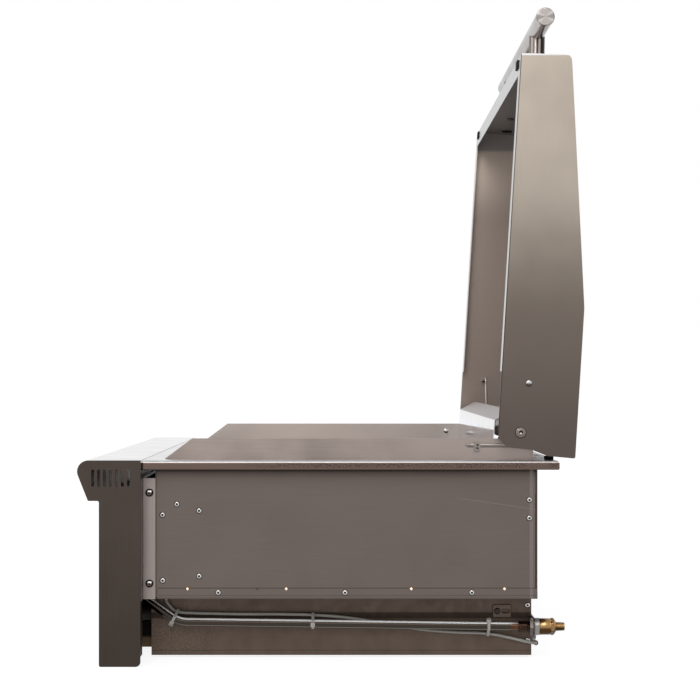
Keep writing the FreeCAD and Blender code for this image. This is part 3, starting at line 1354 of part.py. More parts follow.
def make_spring_clip():
    """Clip with its screw that holds the right spring's lower leg to the guard."""
    leg_z = pivot_z - SPRING_RADIUS
    middle = pivot_y - CLIP_FRONT
    span = (middle - CLIP_LENGTH / 2, middle + CLIP_LENGTH / 2)
    inner = guard_x + (WIRE_RADIUS + CLEAR) * 2
    low = leg_z - WIRE_RADIUS - CLEAR
    high = leg_z + WIRE_RADIUS + CLEAR
    cover = block((guard_x, inner + CLIP_WALL), span, (low - CLIP_WALL, high + CLIP_WALL)).cut(
        block((guard_x, inner), span, (low, high)))
    foot = block((guard_x, guard_x + CLIP_WALL), span, (low - CLIP_WALL - CLIP_FOOT, low - CLIP_WALL))
    screw = cross_screw(CLIP_FOOT / 2.4, CLIP_WALL, CLIP_WALL, CLIP_WALL)
    screw_z = low - CLIP_WALL - CLIP_FOOT / 2
    hole = rod(V(guard_x, middle, screw_z), V(guard_x + CLIP_WALL, middle, screw_z), CLIP_WALL)
    return [cover.fuse(foot).cut(hole), at(screw, guard_x + CLIP_WALL, middle, screw_z)]


def make_panel_screws():
    """Truss-head screws that hold the right bracket to the firebox side."""
    screw = cross_screw(TRUSS_RADIUS, TRUSS_HEIGHT, SHANK_SCREW_RADIUS, SHEET * 2)
    y = front_y + PANEL_SCREW_INSET
    return [at(screw, side_x + SHEET, y, -drop) for drop in PANEL_SCREW_DROPS]


def make_rivets():
    """Pop rivets on the right firebox side, on the floor's flange and on the housing's wall."""
    head = rivet()
    side_places = [(front_y + 44.2, -46.6), (front_y + 25.2, -60.8), (front_y + 73.6, -55.2),
                   (front_y + 73.6, -141.8), (front_y + 25.4, -147.6),
                   (back_y - 10.6, -40.9), (back_y - 10.6, -65.0)]
    flange_places = [front_y + 99.0, 6.0, back_y - 86.8]
    wall_places = [floor_under - 15.0, floor_under - 62.7]
    heads = [at(head, side_x, y, z) for y, z in side_places]
    heads += [at(head, side_x + SHEET, y, floor_under + FLOOR_FLANGE * 0.62) for y in flange_places]
    heads += [at(head, housing_x, housing_back_y - 5.4, z) for z in wall_places]
    return heads


def grouped(pieces):
    """Pieces on the right and their mirror images, as one group."""
    return [copy for piece in pieces for copy in both_sides(piece)]


os.makedirs("parts", exist_ok=True)

save("deck_rim", make_rim())
save("firebox_floor", make_firebox_floor())
save("firebox_back", block((-side_x, side_x), (back_y - SHEET, back_y), (side_under, rim_under)))
save("burner_box", make_burner_box())
save("griddle_plate", block((-cook_x, cook_x), (plate_front_y, plate_back_y), (plate_under, PLATE_TOP)))
save("grease_trough", make_trough())
save("drain_tube", make_drain())
save("rear_deflector", make_deflector())
save("control_panel", make_control_panel())
save("gas_manifold", make_manifold())
save("igniter_module", make_igniter())
save("igniter_button", make_button())
save("tray_housing", make_housing())
save("drip_tray", make_tray())
save("gas_tube", make_tube())
save("inlet_bracket", make_inlet_tab())
save("inlet_rings", make_inlet_rings())
save("gas_inlet", make_inlet())
save("power_lead", make_lead())
save("cable_ties", make_ties())
save("lead_fixings", make_lead_fixings())
save("lead_connector", make_connector())
save("hood_shell", make_hood_shell())
save("handle_bar", make_handle())

# Pieces that the right and the left have as nodes of their own
for name, make in (("firebox_side", make_firebox_side), ("splash_guard", make_guard),
                   ("panel_end", make_panel_end), ("burner", make_burner), ("knob", make_knob),
                   ("valve_plug", make_plug),
                   ("hood_side", make_hood_side), ("spring", make_spring)):
    piece = make()
    save(name + "_right", piece)
    save(name + "_left", mirrored(piece))
for name, x in (("right", BURNER_SPREAD), ("left", -BURNER_SPREAD)):
    save("valve_stem_" + name, stem_bar(x, knob_back_y - STEM_SEAT, stem_back_y, 0))

# Pairs and fasteners, each kind one group
for name, pieces in (("panel_brackets", [make_panel_bracket()]), ("panel_screws", make_panel_screws()),
                     ("knob_bezels", [make_bezel()]), ("valve_bodies", [make_valve(), make_jet()]),
                     ("air_shutters", [make_shutter()]), ("igniter_electrodes", [make_electrode()]),
                     ("tray_runners", [make_runner()]), ("level_brackets", make_level_bracket()),
                     ("pop_rivets", make_rivets()), ("spring_clips", make_spring_clip()),
                     ("hood_stops", [make_hood_stop()]), ("pivot_bushes", [make_bush()]),
                     ("handle_caps", [make_handle_cap()]), ("handle_posts", [make_post()]),
                     ("hood_screws", [make_post_screw(), make_spring_screw()]),
                     ("lip_pads", [make_lip_pad(), make_plug_pad()]), ("pivot_bolts", [make_pivot_bolt()]),
                     ("pivot_rings", make_pivot_rings() + [make_pivot_nut()])):
    save(name, grouped(pieces))
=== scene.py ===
"""Looks of the built-in griddle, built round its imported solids."""

from math import acos, atan2, cos, pi, sin

import bmesh
import bpy
from bpy.props import FloatProperty, FloatVectorProperty, PointerProperty
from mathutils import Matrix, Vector


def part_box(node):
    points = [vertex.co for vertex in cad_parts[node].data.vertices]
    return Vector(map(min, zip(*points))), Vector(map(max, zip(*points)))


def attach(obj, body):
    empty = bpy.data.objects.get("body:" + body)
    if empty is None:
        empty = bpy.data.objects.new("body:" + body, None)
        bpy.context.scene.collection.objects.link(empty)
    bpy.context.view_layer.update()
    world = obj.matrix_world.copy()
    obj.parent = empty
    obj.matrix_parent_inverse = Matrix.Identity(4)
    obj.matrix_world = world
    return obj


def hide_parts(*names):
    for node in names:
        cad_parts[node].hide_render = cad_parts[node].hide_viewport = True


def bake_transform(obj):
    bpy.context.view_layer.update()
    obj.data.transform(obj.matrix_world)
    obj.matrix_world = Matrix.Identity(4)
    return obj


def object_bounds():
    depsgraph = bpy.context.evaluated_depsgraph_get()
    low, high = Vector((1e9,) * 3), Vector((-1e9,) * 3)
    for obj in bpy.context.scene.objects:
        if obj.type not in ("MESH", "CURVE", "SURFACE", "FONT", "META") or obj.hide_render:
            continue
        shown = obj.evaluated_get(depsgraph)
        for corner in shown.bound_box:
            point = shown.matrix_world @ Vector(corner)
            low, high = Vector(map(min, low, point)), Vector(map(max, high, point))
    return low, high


bl_info = {
    "name": "Built-in griddle",
    "version": (1, 0, 0),
    "blender": (4, 5, 0),
    "location": "View3D > Sidebar > Griddle",
    "description": "Finishes, springs, lead and stage of a built-in gas griddle",
    "category": "Object",
}

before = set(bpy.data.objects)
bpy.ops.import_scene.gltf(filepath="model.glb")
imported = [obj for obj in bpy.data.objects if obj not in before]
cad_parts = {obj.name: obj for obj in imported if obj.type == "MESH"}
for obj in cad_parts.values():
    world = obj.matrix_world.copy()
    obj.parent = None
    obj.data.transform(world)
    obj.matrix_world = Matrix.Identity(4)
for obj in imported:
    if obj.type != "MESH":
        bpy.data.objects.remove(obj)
CAD_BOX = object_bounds()
MM = 0.001

# Places of the solids and of the pieces made here, in millimetres; the coil's ends count from the guard
PIVOT_Y = 238.4
PIVOT_Z = 48.5
SPRING_SCREW_Y = 249.27
SPRING_SCREW_Z = 113.26
GUARD_IN = 350.0
GUARD_OUT = 352.0
HOOD_OUT = 381.0
SIDE_OUT = 382.0
PANEL_OUT = 407.0
DOT_PLACES = (-202.3, -71.7, 93.6, 216.8)
DOT_Z = -158.3
DOT_HEIGHT = 3.2
DOME_NUT_Y = 182.4
DOME_NUT_Z = 26.7
DOME_NUT_HEIGHT = 3.4
CLIP_Y = 183.3
PANEL_SCREW_Y = -252.5
PANEL_SCREW_HEIGHTS = (-31.2, -151.3)
LEVEL_BRACKET_Z = -194.8

# The photograph's camera: side, focal length and shift of the middle in pixels, and its place in metres
PHOTO_SIDE = 700
PHOTO_FOCAL = 1728
PHOTO_SHIFT_X = 5
PHOTO_SHIFT_Y = 24
EYE = (2.667, 0.006, 0.1256)
SENSOR = 36.0

# The studio: the floor's half side and gap below the object, and each lamp's name, place, aim, size, power
FLOOR_HALF = 30.0
FLOOR_GAP = 0.4 * MM
LAMPS = (
    ("key", (2.8, -0.3, 2.1), (0, 0, 0.1), 1.8, 46.0),
    ("fill", (0.2, -3.0, 1.5), (0, 0, 0.1), 2.4, 24.0),
    ("back", (-1.2, 2.6, 2.4), (0, 0, 0.2), 2.4, 12.0),
)
WHITE = (1, 1, 1, 1)

# Patterns: relief of brushed lines in millimetres, relief of grain, swing of the gloss, grains across a cloud
BRUSH_DEPTH = 0.02
GRAIN_RELIEF = 0.3
BRUSH_GLOSS_SWING = 0.06
GRAIN_GLOSS_SWING = 0.05
CLOUD_GRAINS = 14

# Counts that set how smooth the pieces made here are
DOME_STEPS = 6
DOME_SIDES = 20
COIL_STEPS = 28
LEG_STEPS = 6
WIRE_SIDES = 14
INLET_SIDES = 96
HEXAGON_STEPS = 12
THREAD_STEPS = 52


def linear(text):
    """An sRGB hex colour as linear red, green and blue."""
    channels = [int(text[k:k + 2], 16) / 255 for k in (1, 3, 5)]
    return [c / 12.92 if c <= 0.04045 else ((c + 0.055) / 1.055) ** 2.4 for c in channels]


def rgba(colour):
    """A hex colour or a colour property as a socket wants it, linear and opaque."""
    red, green, blue = linear(colour) if isinstance(colour, str) else colour
    return (red, green, blue, 1.0)


def add(tree, kind, links=None, **settings):
    """A node with its settings, and its sockets set to values or linked to other sockets."""
    node = tree.nodes.new(kind)
    for key, value in settings.items():
        setattr(node, key, value)
    for socket, value in (links or {}).items():
        if isinstance(value, bpy.types.NodeSocket):
            tree.links.new(value, node.inputs[socket])
        else:
            node.inputs[socket].default_value = value
    return node


def colour_prop(name, text, description):
    """A colour in the sidebar, from its sRGB hex value."""
    return FloatVectorProperty(name=name, description=description, default=linear(text), subtype="COLOR",
                               size=3, min=0, max=1)


def length_prop(name, millimetres, description):
    """A length in the sidebar, from its value in millimetres."""
    return FloatProperty(name=name, description=description, default=millimetres * MM, unit="LENGTH", min=0)


class GriddleColours(bpy.types.PropertyGroup):
    """Colours of the finishes."""
    side: colour_prop("Firebox side", "#685f5a", "Brushed sides of the firebox")
    bracket: colour_prop("Bracket", "#918884", "Bright strips beside the firebox")
    rim: colour_prop("Rim", "#d0ced0", "Top of the rim that lies on the counter")
    rim_edge: colour_prop("Rim edge", "#65564f", "Folded edge of the rim")
    guard: colour_prop("Guard", "#968a84", "Outside of the splash guards")
    # Painted light: the guards' inside is set paler than their outside
    guard_inside: colour_prop("Guard inside", "#bfb4ad", "Inside of the splash guards")
    panel: colour_prop("Control panel", "#dbdadc", "Brushed control panel")
    panel_front: colour_prop("Panel front", "#a29d99", "Upright front of the control panel and the tray")
    panel_end: colour_prop("Panel ends", "#48403b", "Brushed ends of the control panel")
    hood_light: colour_prop("Hood front", "#a2988d", "Hood far from the hinge")
    # Painted reflection: the middle and hinge colours darken the hood towards the hinge
    hood_reflection_middle: colour_prop("Hood middle", "#696059", "Middle of the hood, tinted by heat")
    hood_reflection_hinge: colour_prop("Hood hinge", "#5a514c", "Hood near the hinge, tinted by heat")
    # Painted light: the inside colour is set paler than its shade, over its heat tint
    hood_inside: colour_prop("Hood inside", "#9d8f86", "Heat-tinted inside of the hood's sides")
    face_inside: colour_prop("Face inside", "#959394", "Inside of the hood's face and top")
    lip: colour_prop("Lip", "#949496", "Flanges along the hood's open edge")
    polished: colour_prop("Polished steel", "#c7c5c6", "Rear deflector")
    handle: colour_prop("Handle", "#948e8b", "Handle caps and knobs")
    bar: colour_prop("Handle bar", "#9b9694", "Handle bar")
    post: colour_prop("Post", "#958b87", "Handle posts")
    zinc: colour_prop("Galvanised sheet", "#594d45", "Tray housing")
    tube: colour_prop("Drawn tube", "#3d3732", "Gas tube")
    plate: colour_prop("Plate", "#6d6661", "Ground griddle plate")
    brass: colour_prop("Brass", "#a8855a", "Gas inlet and valves")
    bright: colour_prop("Bright fixings", "#cfccca", "Rivets and hood screws")
    dull: colour_prop("Dull fixings", "#938b86", "Pivot bolts, washers and clips")
    wire: colour_prop("Spring wire", "#cfc8c1", "Counterbalance springs")
    rubber: colour_prop("Rubber", "#0f1012", "Pads and stops")
    nylon: colour_prop("Nylon", "#a09d98", "Cable ties")
    lead: colour_prop("Lead", "#94918b", "Sheath of the power lead")
    plastic: colour_prop("Black plastic", "#1b1b1b", "Igniter and connector")
    ceramic: colour_prop("Ceramic", "#e6e1d6", "Igniter electrodes")
    rust: colour_prop("Rust", "#24130d", "Rust specks")
    # This grime colour is also laid as painted shade
    grime: colour_prop("Grime", "#241d18", "Soot, grease and tarnish")
    copper: colour_prop("Copper", "#e2b98a", "Dots along the floor flange")


class GriddleSizes(bpy.types.PropertyGroup):
    """Sizes of the patterns and of the pieces that are made here."""
    brush: length_prop("Brush line", 0.6, "Width of a brushed line, coarser than the real 0.1 mm to show")
    brush_run: length_prop("Brush run", 60.0, "Length of a brushed line")
    smudge: length_prop("Smudge", 70.0, "Size of the soft stains")
    speck: length_prop("Speck", 1.6, "Size of a rust speck")
    spangle: length_prop("Spangle", 9.0, "Size of a zinc crystal")
    spring_wire: length_prop("Spring wire radius", 1.7, "Radius of the spring's wire")
    spring_coil: length_prop("Spring coil radius", 17.5, "Radius to the middle of the spring's wire")
    spring_pitch: length_prop("Spring pitch", 4.2, "Advance of the spring per turn")
    lead: length_prop("Lead radius", 2.0, "Radius of the power lead")
    dot: length_prop("Dot radius", 2.6, "Radius of the copper dots")
    mandrel: length_prop("Mandrel radius", 1.75, "Radius of the broken mandrels in the rivets")
    # Painted shadow: the ring laid round each rivet
    shadow_ring: length_prop("Grime ring radius", 4.1, "Radius of the grime round each rivet")
    dome: length_prop("Dome radius", 4.4, "Radius of the guards' dome nuts")


class Finish:
    """A material in the making: its shader, and places in millimetres and directions to lay tints by."""

    def __init__(self, name):
        self.material = bpy.data.materials.new(name)
        self.material.use_nodes = True
        self.tree = self.material.node_tree
        self.shader = self.tree.nodes["Principled BSDF"]
        source = self.add("ShaderNodeTexCoord", {})
        self.place = source.outputs["Object"]
        self.normal = source.outputs["Normal"]
        scaled = self.add("ShaderNodeVectorMath", {0: self.place, "Scale": 1 / MM}, operation="SCALE")
        self.x, self.y, self.z = self.add("ShaderNodeSeparateXYZ", {0: scaled.outputs[0]}).outputs
        self.nx, self.ny, self.nz = self.add("ShaderNodeSeparateXYZ", {0: self.normal}).outputs
        self.width = self.maths("ABSOLUTE", self.x)

    def add(self, kind, links, **settings):
        """A node in the material's tree."""
        return add(self.tree, kind, links, **settings)

    def maths(self, operation, one, two=0.0, three=0.0):
        """The result of one sum on values or sockets."""
        return self.add("ShaderNodeMath", {0: one, 1: two, 2: three}, operation=operation).outputs[0]

    def product(self, *factors):
        """Values or sockets multiplied with each other."""
        result = factors[0]
        for factor in factors[1:]:
            result = self.maths("MULTIPLY", result, factor)
        return result

    def ramp(self, value, low, high):
        """A socket, or the place or direction of that name, mapped softly to 0 at low and 1 at high."""
        limits = {0: getattr(self, value) if isinstance(value, str) else value, 1: low, 2: high}
        return self.add("ShaderNodeMapRange", limits, interpolation_type="SMOOTHSTEP").outputs[0]

    def band(self, value, low, high, soft):
        """The same, mapped to 1 between two limits and 0 outside, with soft edges."""
        return self.product(self.ramp(value, low - soft, low), self.ramp(value, high + soft, high))

    def aside(self, value, middle):
        """How far a value lies from a middle, either way."""
        return self.maths("ABSOLUTE", self.maths("SUBTRACT", value, middle))

    def spot(self, y, z, radius, soft, half=0.0):
        """1 near a place in side view, or near a line along Y through it, of half its length each way."""
        beyond = self.maths("MAXIMUM", self.maths("SUBTRACT", self.aside(self.y, y), half), 0.0)
        up = self.maths("SUBTRACT", self.z, z)
        reach = self.maths("SQRT", self.maths("MULTIPLY_ADD", up, up, self.product(beyond, beyond)))
        return self.ramp(reach, radius + soft, radius)

    def faces_in(self, middle):
        """1 on the faces that look towards a place in the middle of a folded sheet."""
        centre = Vector(middle) * MM
        away = self.add("ShaderNodeVectorMath", {0: self.place, 1: centre}, operation="SUBTRACT")
        pair = {0: away.outputs[0], 1: self.normal}
        facing = self.add("ShaderNodeVectorMath", pair, operation="DOT_PRODUCT")
        return self.ramp(facing.outputs["Value"], 0.0, -2 * MM)

    def lines(self, along, line, reach):
        """Noise drawn out into brushed lines along one axis, from 0 to 1."""
        scale = [1 / line] * 3
        scale["XYZ".index(along)] = 1 / reach
        mapped = self.add("ShaderNodeMapping", {"Vector": self.place, "Scale": scale})
        noise = {"Vector": mapped.outputs[0], "Scale": 1.0, "Detail": 3.0, "Roughness": 0.6}
        return self.add("ShaderNodeTexNoise", noise).outputs[0]

    def patches(self, size, detail=3.0):
        """Soft noise of a real size, from 0 to 1."""
        noise = {"Vector": self.place, "Scale": 1 / size, "Detail": detail}
        return self.add("ShaderNodeTexNoise", noise).outputs[0]

    def spread(self, noise, middle, swing, least=0.3, most=0.7):
        """Noise mapped so that its usual span swings about a middle value."""
        limits = {0: noise, 1: least, 2: most, 3: middle - swing, 4: middle + swing}
        return self.add("ShaderNodeMapRange", limits).outputs[0]

    def lay(self, colour, level, gloss, height, strength, depth, metallic):
        """Sets the shader: a colour scaled by a level, gloss, relief of a depth in millimetres, and metal."""
        shade = {0: rgba(colour)[:3], "Scale": level}
        tone = self.add("ShaderNodeVectorMath", shade, operation="SCALE")
        bump = self.add("ShaderNodeBump", {"Strength": strength, "Distance": depth * MM, "Height": height})
        ends = {"Base Color": tone.outputs[0], "Roughness": gloss, "Normal": bump.outputs[0]}
        for socket, value in ends.items():
            self.tree.links.new(value, self.shader.inputs[socket])
        self.shader.inputs["Metallic"].default_value = metallic

    def soil_and_shade(self, *masks, rough=None):
        """Lays the sidebar's grime colour where all masks say: for grime, and for painted shade."""
        self.tint(bpy.context.scene.griddle_colours.grime, *masks, rough=rough)

    def tint(self, colour, *masks, metal=1.0, rough=None):
        """Lays a second colour over the first where all masks say, with its own metal and gloss."""
        mask = self.product(*masks)
        base = self.shader.inputs["Base Color"]
        layers = {0: mask, 6: base.links[0].from_socket, 7: rgba(colour)}
        self.tree.links.new(self.add("ShaderNodeMix", layers, data_type="RGBA").outputs[2], base)
        if metal < 1.0:
            level = self.add("ShaderNodeMapRange", {0: mask, 3: 1.0, 4: metal})
            self.tree.links.new(level.outputs[0], self.shader.inputs["Metallic"])
        if rough is not None:
            gloss = self.shader.inputs["Roughness"]
            mixed = self.add("ShaderNodeMix", {0: mask, 2: gloss.links[0].from_socket, 3: rough})
            self.tree.links.new(mixed.outputs[0], gloss)


def brushed(name, colour, along, rough, contrast, stains, relief=0.25):
    """Brushed stainless sheet: fine lines one way, and soft stains from handling in colour and gloss."""
    sizes = bpy.context.scene.griddle_sizes
    finish = Finish(name)
    lines = finish.lines(along, sizes.brush, sizes.brush_run)
    stain = finish.patches(sizes.smudge)
    level = finish.product(finish.spread(lines, 1, contrast), finish.spread(stain, 1, stains))
    gloss = finish.spread(stain, rough, BRUSH_GLOSS_SWING)
    finish.lay(colour, level, gloss, lines, relief, BRUSH_DEPTH, 1.0)
    return finish


def plain(name, colour, metallic, rough, grain, depth, stains=0.06):
    """A finish of one colour, with grain of a real size and depth in millimetres and soft variation."""
    finish = Finish(name)
    fine = finish.patches(grain * MM, 4.0)
    level = finish.spread(finish.patches(grain * CLOUD_GRAINS * MM), 1, stains)
    gloss = finish.spread(fine, rough, GRAIN_GLOSS_SWING)
    finish.lay(colour, level, gloss, fine, GRAIN_RELIEF, depth, metallic)
    return finish


def dress(finish, *nodes):
    """Gives CAD nodes a finish."""
    for name in nodes:
        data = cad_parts[name]
        if not data.material_slots:
            data.data.materials.append(finish.material)
        for slot in data.material_slots:
            slot.material = finish.material


def new_object(name, data):
    """An object in the current collection."""
    made = bpy.data.objects.new(name, data)
    bpy.context.collection.objects.link(made)
    return made


def new_piece(name, shape, finish, body):
    """A bmesh or curve as a piece with the given finish, riding on a body when one is named."""
    data = mesh_from(name, shape) if isinstance(shape, bmesh.types.BMesh) else shape
    piece = new_object(name, data)
    data.materials.append(finish.material)
    if body:
        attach(piece, body)
    return piece


def mesh_from(name, bm):
    """A mesh from a bmesh, with its faces turned outwards."""
    bmesh.ops.recalc_face_normals(bm, faces=bm.faces)
    mesh = bpy.data.meshes.new(name)
    bm.to_mesh(mesh)
    bm.free()
    return mesh


def skin(bm, rings):
    """Joins rings of equal length into one smooth skin with closed ends."""
    made = [[bm.verts.new(point) for point in ring] for ring in rings]
    for one, two in zip(made, made[1:]):
        for k in range(len(one)):
            j = (k + 1) % len(one)
            bm.faces.new((one[k], one[j], two[j], two[k])).smooth = True
    bm.faces.new(list(reversed(made[0])))
    bm.faces.new(made[-1])


def circle(sides):
    """Angles at equal steps once round."""
    return [2 * pi * s / sides for s in range(sides)]


def tube_rings(points, radius, sides):
    """Rings round a line of points, carried along it without twist."""
    across = None
    rings = []
    for k, point in enumerate(points):
        ahead = points[min(k + 1, len(points) - 1)] - points[max(k - 1, 0)]
        ahead.normalize()
        if across is None:
            across = ahead.orthogonal().normalized()
        across = (across - ahead * across.dot(ahead)).normalized()
        other = ahead.cross(across)
        rings.append([point + (across * cos(a) + other * sin(a)) * radius for a in circle(sides)])
    return rings


def turned_rings(centre, rows, sides):
    """Rings about an axis along Y, from rows in millimetres of a y and a radius, fixed or of angle and y."""
    rings = []
    for y, radius in rows:
        ring = []
        for a in circle(sides):
            r = (radius(a, y) if callable(radius) else radius) * MM
            ring.append(Vector((centre.x + r * cos(a), y * MM, centre.z + r * sin(a))))
        rings.append(ring)
    return rings


def middle_of(box):
    """The middle of a box of two corners."""
    return (Vector(box[0]) + Vector(box[1])) / 2


class Step:
    """What all steps share: each can be undone."""
    bl_options = {"REGISTER", "UNDO"}


class GRIDDLE_OT_stage(Step, bpy.types.Operator):
    """Floor, studio light and the camera at the photograph's place"""
    bl_idname = "griddle.stage"
    bl_label = "Stage"

    def execute(self, context):
        scene = context.scene
        scene.view_settings.view_transform = "Standard"
        self.make_floor()
        self.make_world(scene)
        self.make_lamps()
        self.make_camera(scene)
        return {"FINISHED"}

    def make_floor(self):
        """A wide floor just below the object."""
        mesh = bpy.data.meshes.new("floor")
        z = CAD_BOX[0][2] - FLOOR_GAP
        corners = [(x * FLOOR_HALF, y * FLOOR_HALF, z) for x, y in ((-1, -1), (1, -1), (1, 1), (-1, 1))]
        mesh.from_pydata(corners, [], [(0, 1, 2, 3)])
        floor = new_object("floor", mesh)
        # Pale painted studio floor: matt, and white to the camera and in reflections
        paint = Finish("studio_floor_matt_paint")
        paint.shader.inputs["Base Color"].default_value = rgba("#efefef")
        paint.shader.inputs["Roughness"].default_value = 0.9
        white = add(paint.tree, "ShaderNodeEmission", {"Color": WHITE, "Strength": 1.18})
        share = paint.product(self.seen_ray(paint.tree), 0.75)
        self.mix(paint.tree, "Material Output", share, paint.shader, white)
        mesh.materials.append(paint.material)

    def seen_ray(self, tree):
        """1 for rays of the camera and of reflections and see-through surfaces."""
        path = add(tree, "ShaderNodeLightPath")
        seen = path.outputs["Is Camera Ray"]
        for kind in ("Is Glossy Ray", "Is Transmission Ray"):
            either = {0: seen, 1: path.outputs[kind]}
            seen = add(tree, "ShaderNodeMath", either, operation="MAXIMUM").outputs[0]
        return seen

    def mix(self, tree, end, share, one, two):
        """Sends a mix of two shaders to the tree's end."""
        mixed = add(tree, "ShaderNodeMixShader", {0: share, 1: one.outputs[0], 2: two.outputs[0]})
        tree.links.new(mixed.outputs[0], tree.nodes[end].inputs[0])

    def make_world(self, scene):
        """White surroundings: soft as a light, plain white where they are seen."""
        world = bpy.data.worlds.new("studio")
        scene.world = world
        world.use_nodes = True
        tree = world.node_tree
        soft = tree.nodes["Background"]
        soft.inputs["Color"].default_value = WHITE
        soft.inputs["Strength"].default_value = 0.6
        white = add(tree, "ShaderNodeBackground", {"Color": WHITE, "Strength": 1.0})
        self.mix(tree, "World Output", self.seen_ray(tree), soft, white)

    def make_lamps(self):
        """Three square lamps, each turned towards its aim."""
        for name, place, aim, width, power in LAMPS:
            lamp = bpy.data.lights.new(name, "AREA")
            lamp.energy = power
            lamp.size = width
            holder = new_object(name, lamp)
            holder.location = place
            holder.rotation_euler = (Vector(place) - Vector(aim)).to_track_quat("Z", "Y").to_euler()

    def make_camera(self, scene):
        """The camera, level and looking along X, with the photograph's lens and shift."""
        camera = bpy.data.cameras.new("camera")
        camera.sensor_width = SENSOR
        camera.lens = SENSOR * PHOTO_FOCAL / PHOTO_SIDE
        camera.shift_x = PHOTO_SHIFT_X / PHOTO_SIDE
        camera.shift_y = PHOTO_SHIFT_Y / PHOTO_SIDE
        holder = new_object("camera", camera)
        holder.location = EYE
        holder.rotation_euler = (pi / 2, 0, pi / 2)
        scene.camera = holder


class GRIDDLE_OT_firebox(Step, bpy.types.Operator):
    """Finishes of the rim, firebox, guards and tray housing"""
    bl_idname = "griddle.firebox"
    bl_label = "Firebox"

    def execute(self, context):
        colours = context.scene.griddle_colours
        sizes = context.scene.griddle_sizes
        # Stainless sheet, brushed along the counter: dull grey with faint lines and a scratch
        side = brushed("stainless_side_brushed", colours.side, "Y", 0.5, 0.04, 0.05)
        self.shade_and_mark_side(side, colours)
        dress(side, "firebox_side_right", "firebox_side_left", "firebox_floor")
        # The same sheet at the back, brushed across
        dress(brushed("stainless_back_brushed", colours.side, "X", 0.5, 0.04, 0.06), "firebox_back")
        # Stainless strip, brushed upright: brighter than the side beside it, with painted shade along its
        # flange
        strip = brushed("stainless_strip_brushed", colours.bracket, "Z", 0.45, 0.05, 0.05)
        strip.soil_and_shade(strip.ramp("width", SIDE_OUT + 1.4, SIDE_OUT + 2.4), 0.6)
        dress(strip, "panel_brackets")
        self.dress_rim(colours, sizes)
        # Stainless guard, brushed along: painted paler towards the plate as painted light, stained by cooking
        guard = brushed("stainless_guard_brushed", colours.guard, "Y", 0.36, 0.08, 0.11)
        # Painted light: the faces towards the plate set paler
        guard.tint(colours.guard_inside, guard.ramp("width", GUARD_OUT - 0.8, GUARD_OUT - 1.2))
        self.tint_and_shade_guard(guard)
        dress(guard, "splash_guard_right", "splash_guard_left")
        # Stainless sheet polished to a mirror, with a rougher ledge painted darker as painted shade, and a
        # pale blue painted reflection at its foot
        wall = brushed("stainless_deflector_polished", colours.polished, "X", 0.08, 0.02, 0.02)
        # Painted shade on the upward ledge, which is also rougher
        wall.tint("#a39d9c", wall.ramp("nz", 0.5, 0.8), rough=0.45)
        # Painted reflection: a pale blue foot
        wall.tint("#c9d1df", wall.ramp("z", 51, 47))
        dress(wall, "rear_deflector")
        # Steel plate ground flat and seasoned: brown clouds over a fine grind
        dress(brushed("steel_plate_ground", colours.plate, "Y", 0.45, 0.08, 0.14), "griddle_plate")
        # Pressed trough, dull from grease
        trough = brushed("stainless_trough_pressed", colours.plate, "X", 0.4, 0.05, 0.08)
        dress(trough, "grease_trough", "drain_tube")
        self.dress_tray(colours)
        self.dress_zinc(colours, sizes)
        self.dress_brackets(colours)
        # Rolled burner tube, blued by flame
        burner = plain("steel_burner_rolled", colours.zinc, 1.0, 0.5, 2.0, 0.05, 0.2)
        dress(burner, "burner_right", "burner_left", "air_shutters")
        return {"FINISHED"}

    def shade_and_mark_side(self, side, colours):
        """Painted shade under the rim, along the rear edge, beside the strip, along the flange's folds and
        end and in a small hole; a paler fold at the rear and a scratch.
        """
        # Painted shade under the rim: darker towards the top, and a painted shadow line just below the rim
        side.tint("#3d3430", side.ramp("z", -13, 3), 0.95)
        side.soil_and_shade(side.ramp("z", -5, -1.5), 0.6)
        rear_fold = side.band("y", 250.5, 254.5, 0.6)
        side.tint(colours.bracket, rear_fold, 0.3)
        # Painted shade: a dark strip along the rear edge, between the flange and the rim
        rear_slot = side.ramp("y", 257.4, 258.4)
        side.soil_and_shade(rear_slot, side.band("z", -156.5, -33.5, 1.0))
        # Painted shadow on the side, beside the strip's edge
        strip_shadow = side.band("y", -244.9, -243.0, 0.5)
        side.soil_and_shade(strip_shadow, 0.32)
        # Painted shade along the flange's folds and at its front end
        flange = side.ramp("y", -241.6, -240.8)
        for z in (-157.4, -167.3):
            fold = side.band("z", z - 0.3, z + 0.3, 0.4)
            side.soil_and_shade(flange, fold, 0.35)
        flange_end_shade = side.band("y", -242.6, -242.0, 0.4)
        side.soil_and_shade(flange_end_shade, side.band("z", -167.0, -160.0, 1.0), 0.35)
        # Painted shade: a dark dot where a small hole is
        hole = side.spot(-110, -158.8, 0.8, 0.6)
        side.soil_and_shade(hole, 0.7)
        slant = side.maths("MULTIPLY_ADD", side.y, 0.1467, side.z)
        scratch = side.product(side.band(slant, -15.9, -15.4, 0.3), side.band("y", 168, 252, 20))
        side.tint(colours.bracket, scratch, side.ramp("x", -1, 1), 0.3)

    def tint_and_shade_guard(self, guard):
        """Clean steel towards the rear, and a painted shadow of the spring's lower leg on the outside."""
        outside = guard.ramp("width", GUARD_OUT - 0.6, GUARD_OUT - 0.2)
        guard.tint("#9a8e88", outside, guard.ramp("y", 50, 110))
        # Painted shadow of the spring's lower leg on the guard's outside
        leg_shadow = guard.product(guard.band("z", 27.2, 28.8, 0.5), guard.band("y", 172, 232, 4))
        guard.soil_and_shade(outside, leg_shadow, 0.5)

    def dress_tray(self, colours):
        """Pressed tray: a clean front, painted shade on its side walls with brown grease low on them, and
        dark behind the front.
        """
        tray = brushed("stainless_tray_pressed", colours.plate, "X", 0.4, 0.05, 0.08)
        wall = tray.ramp("width", 300, 304)
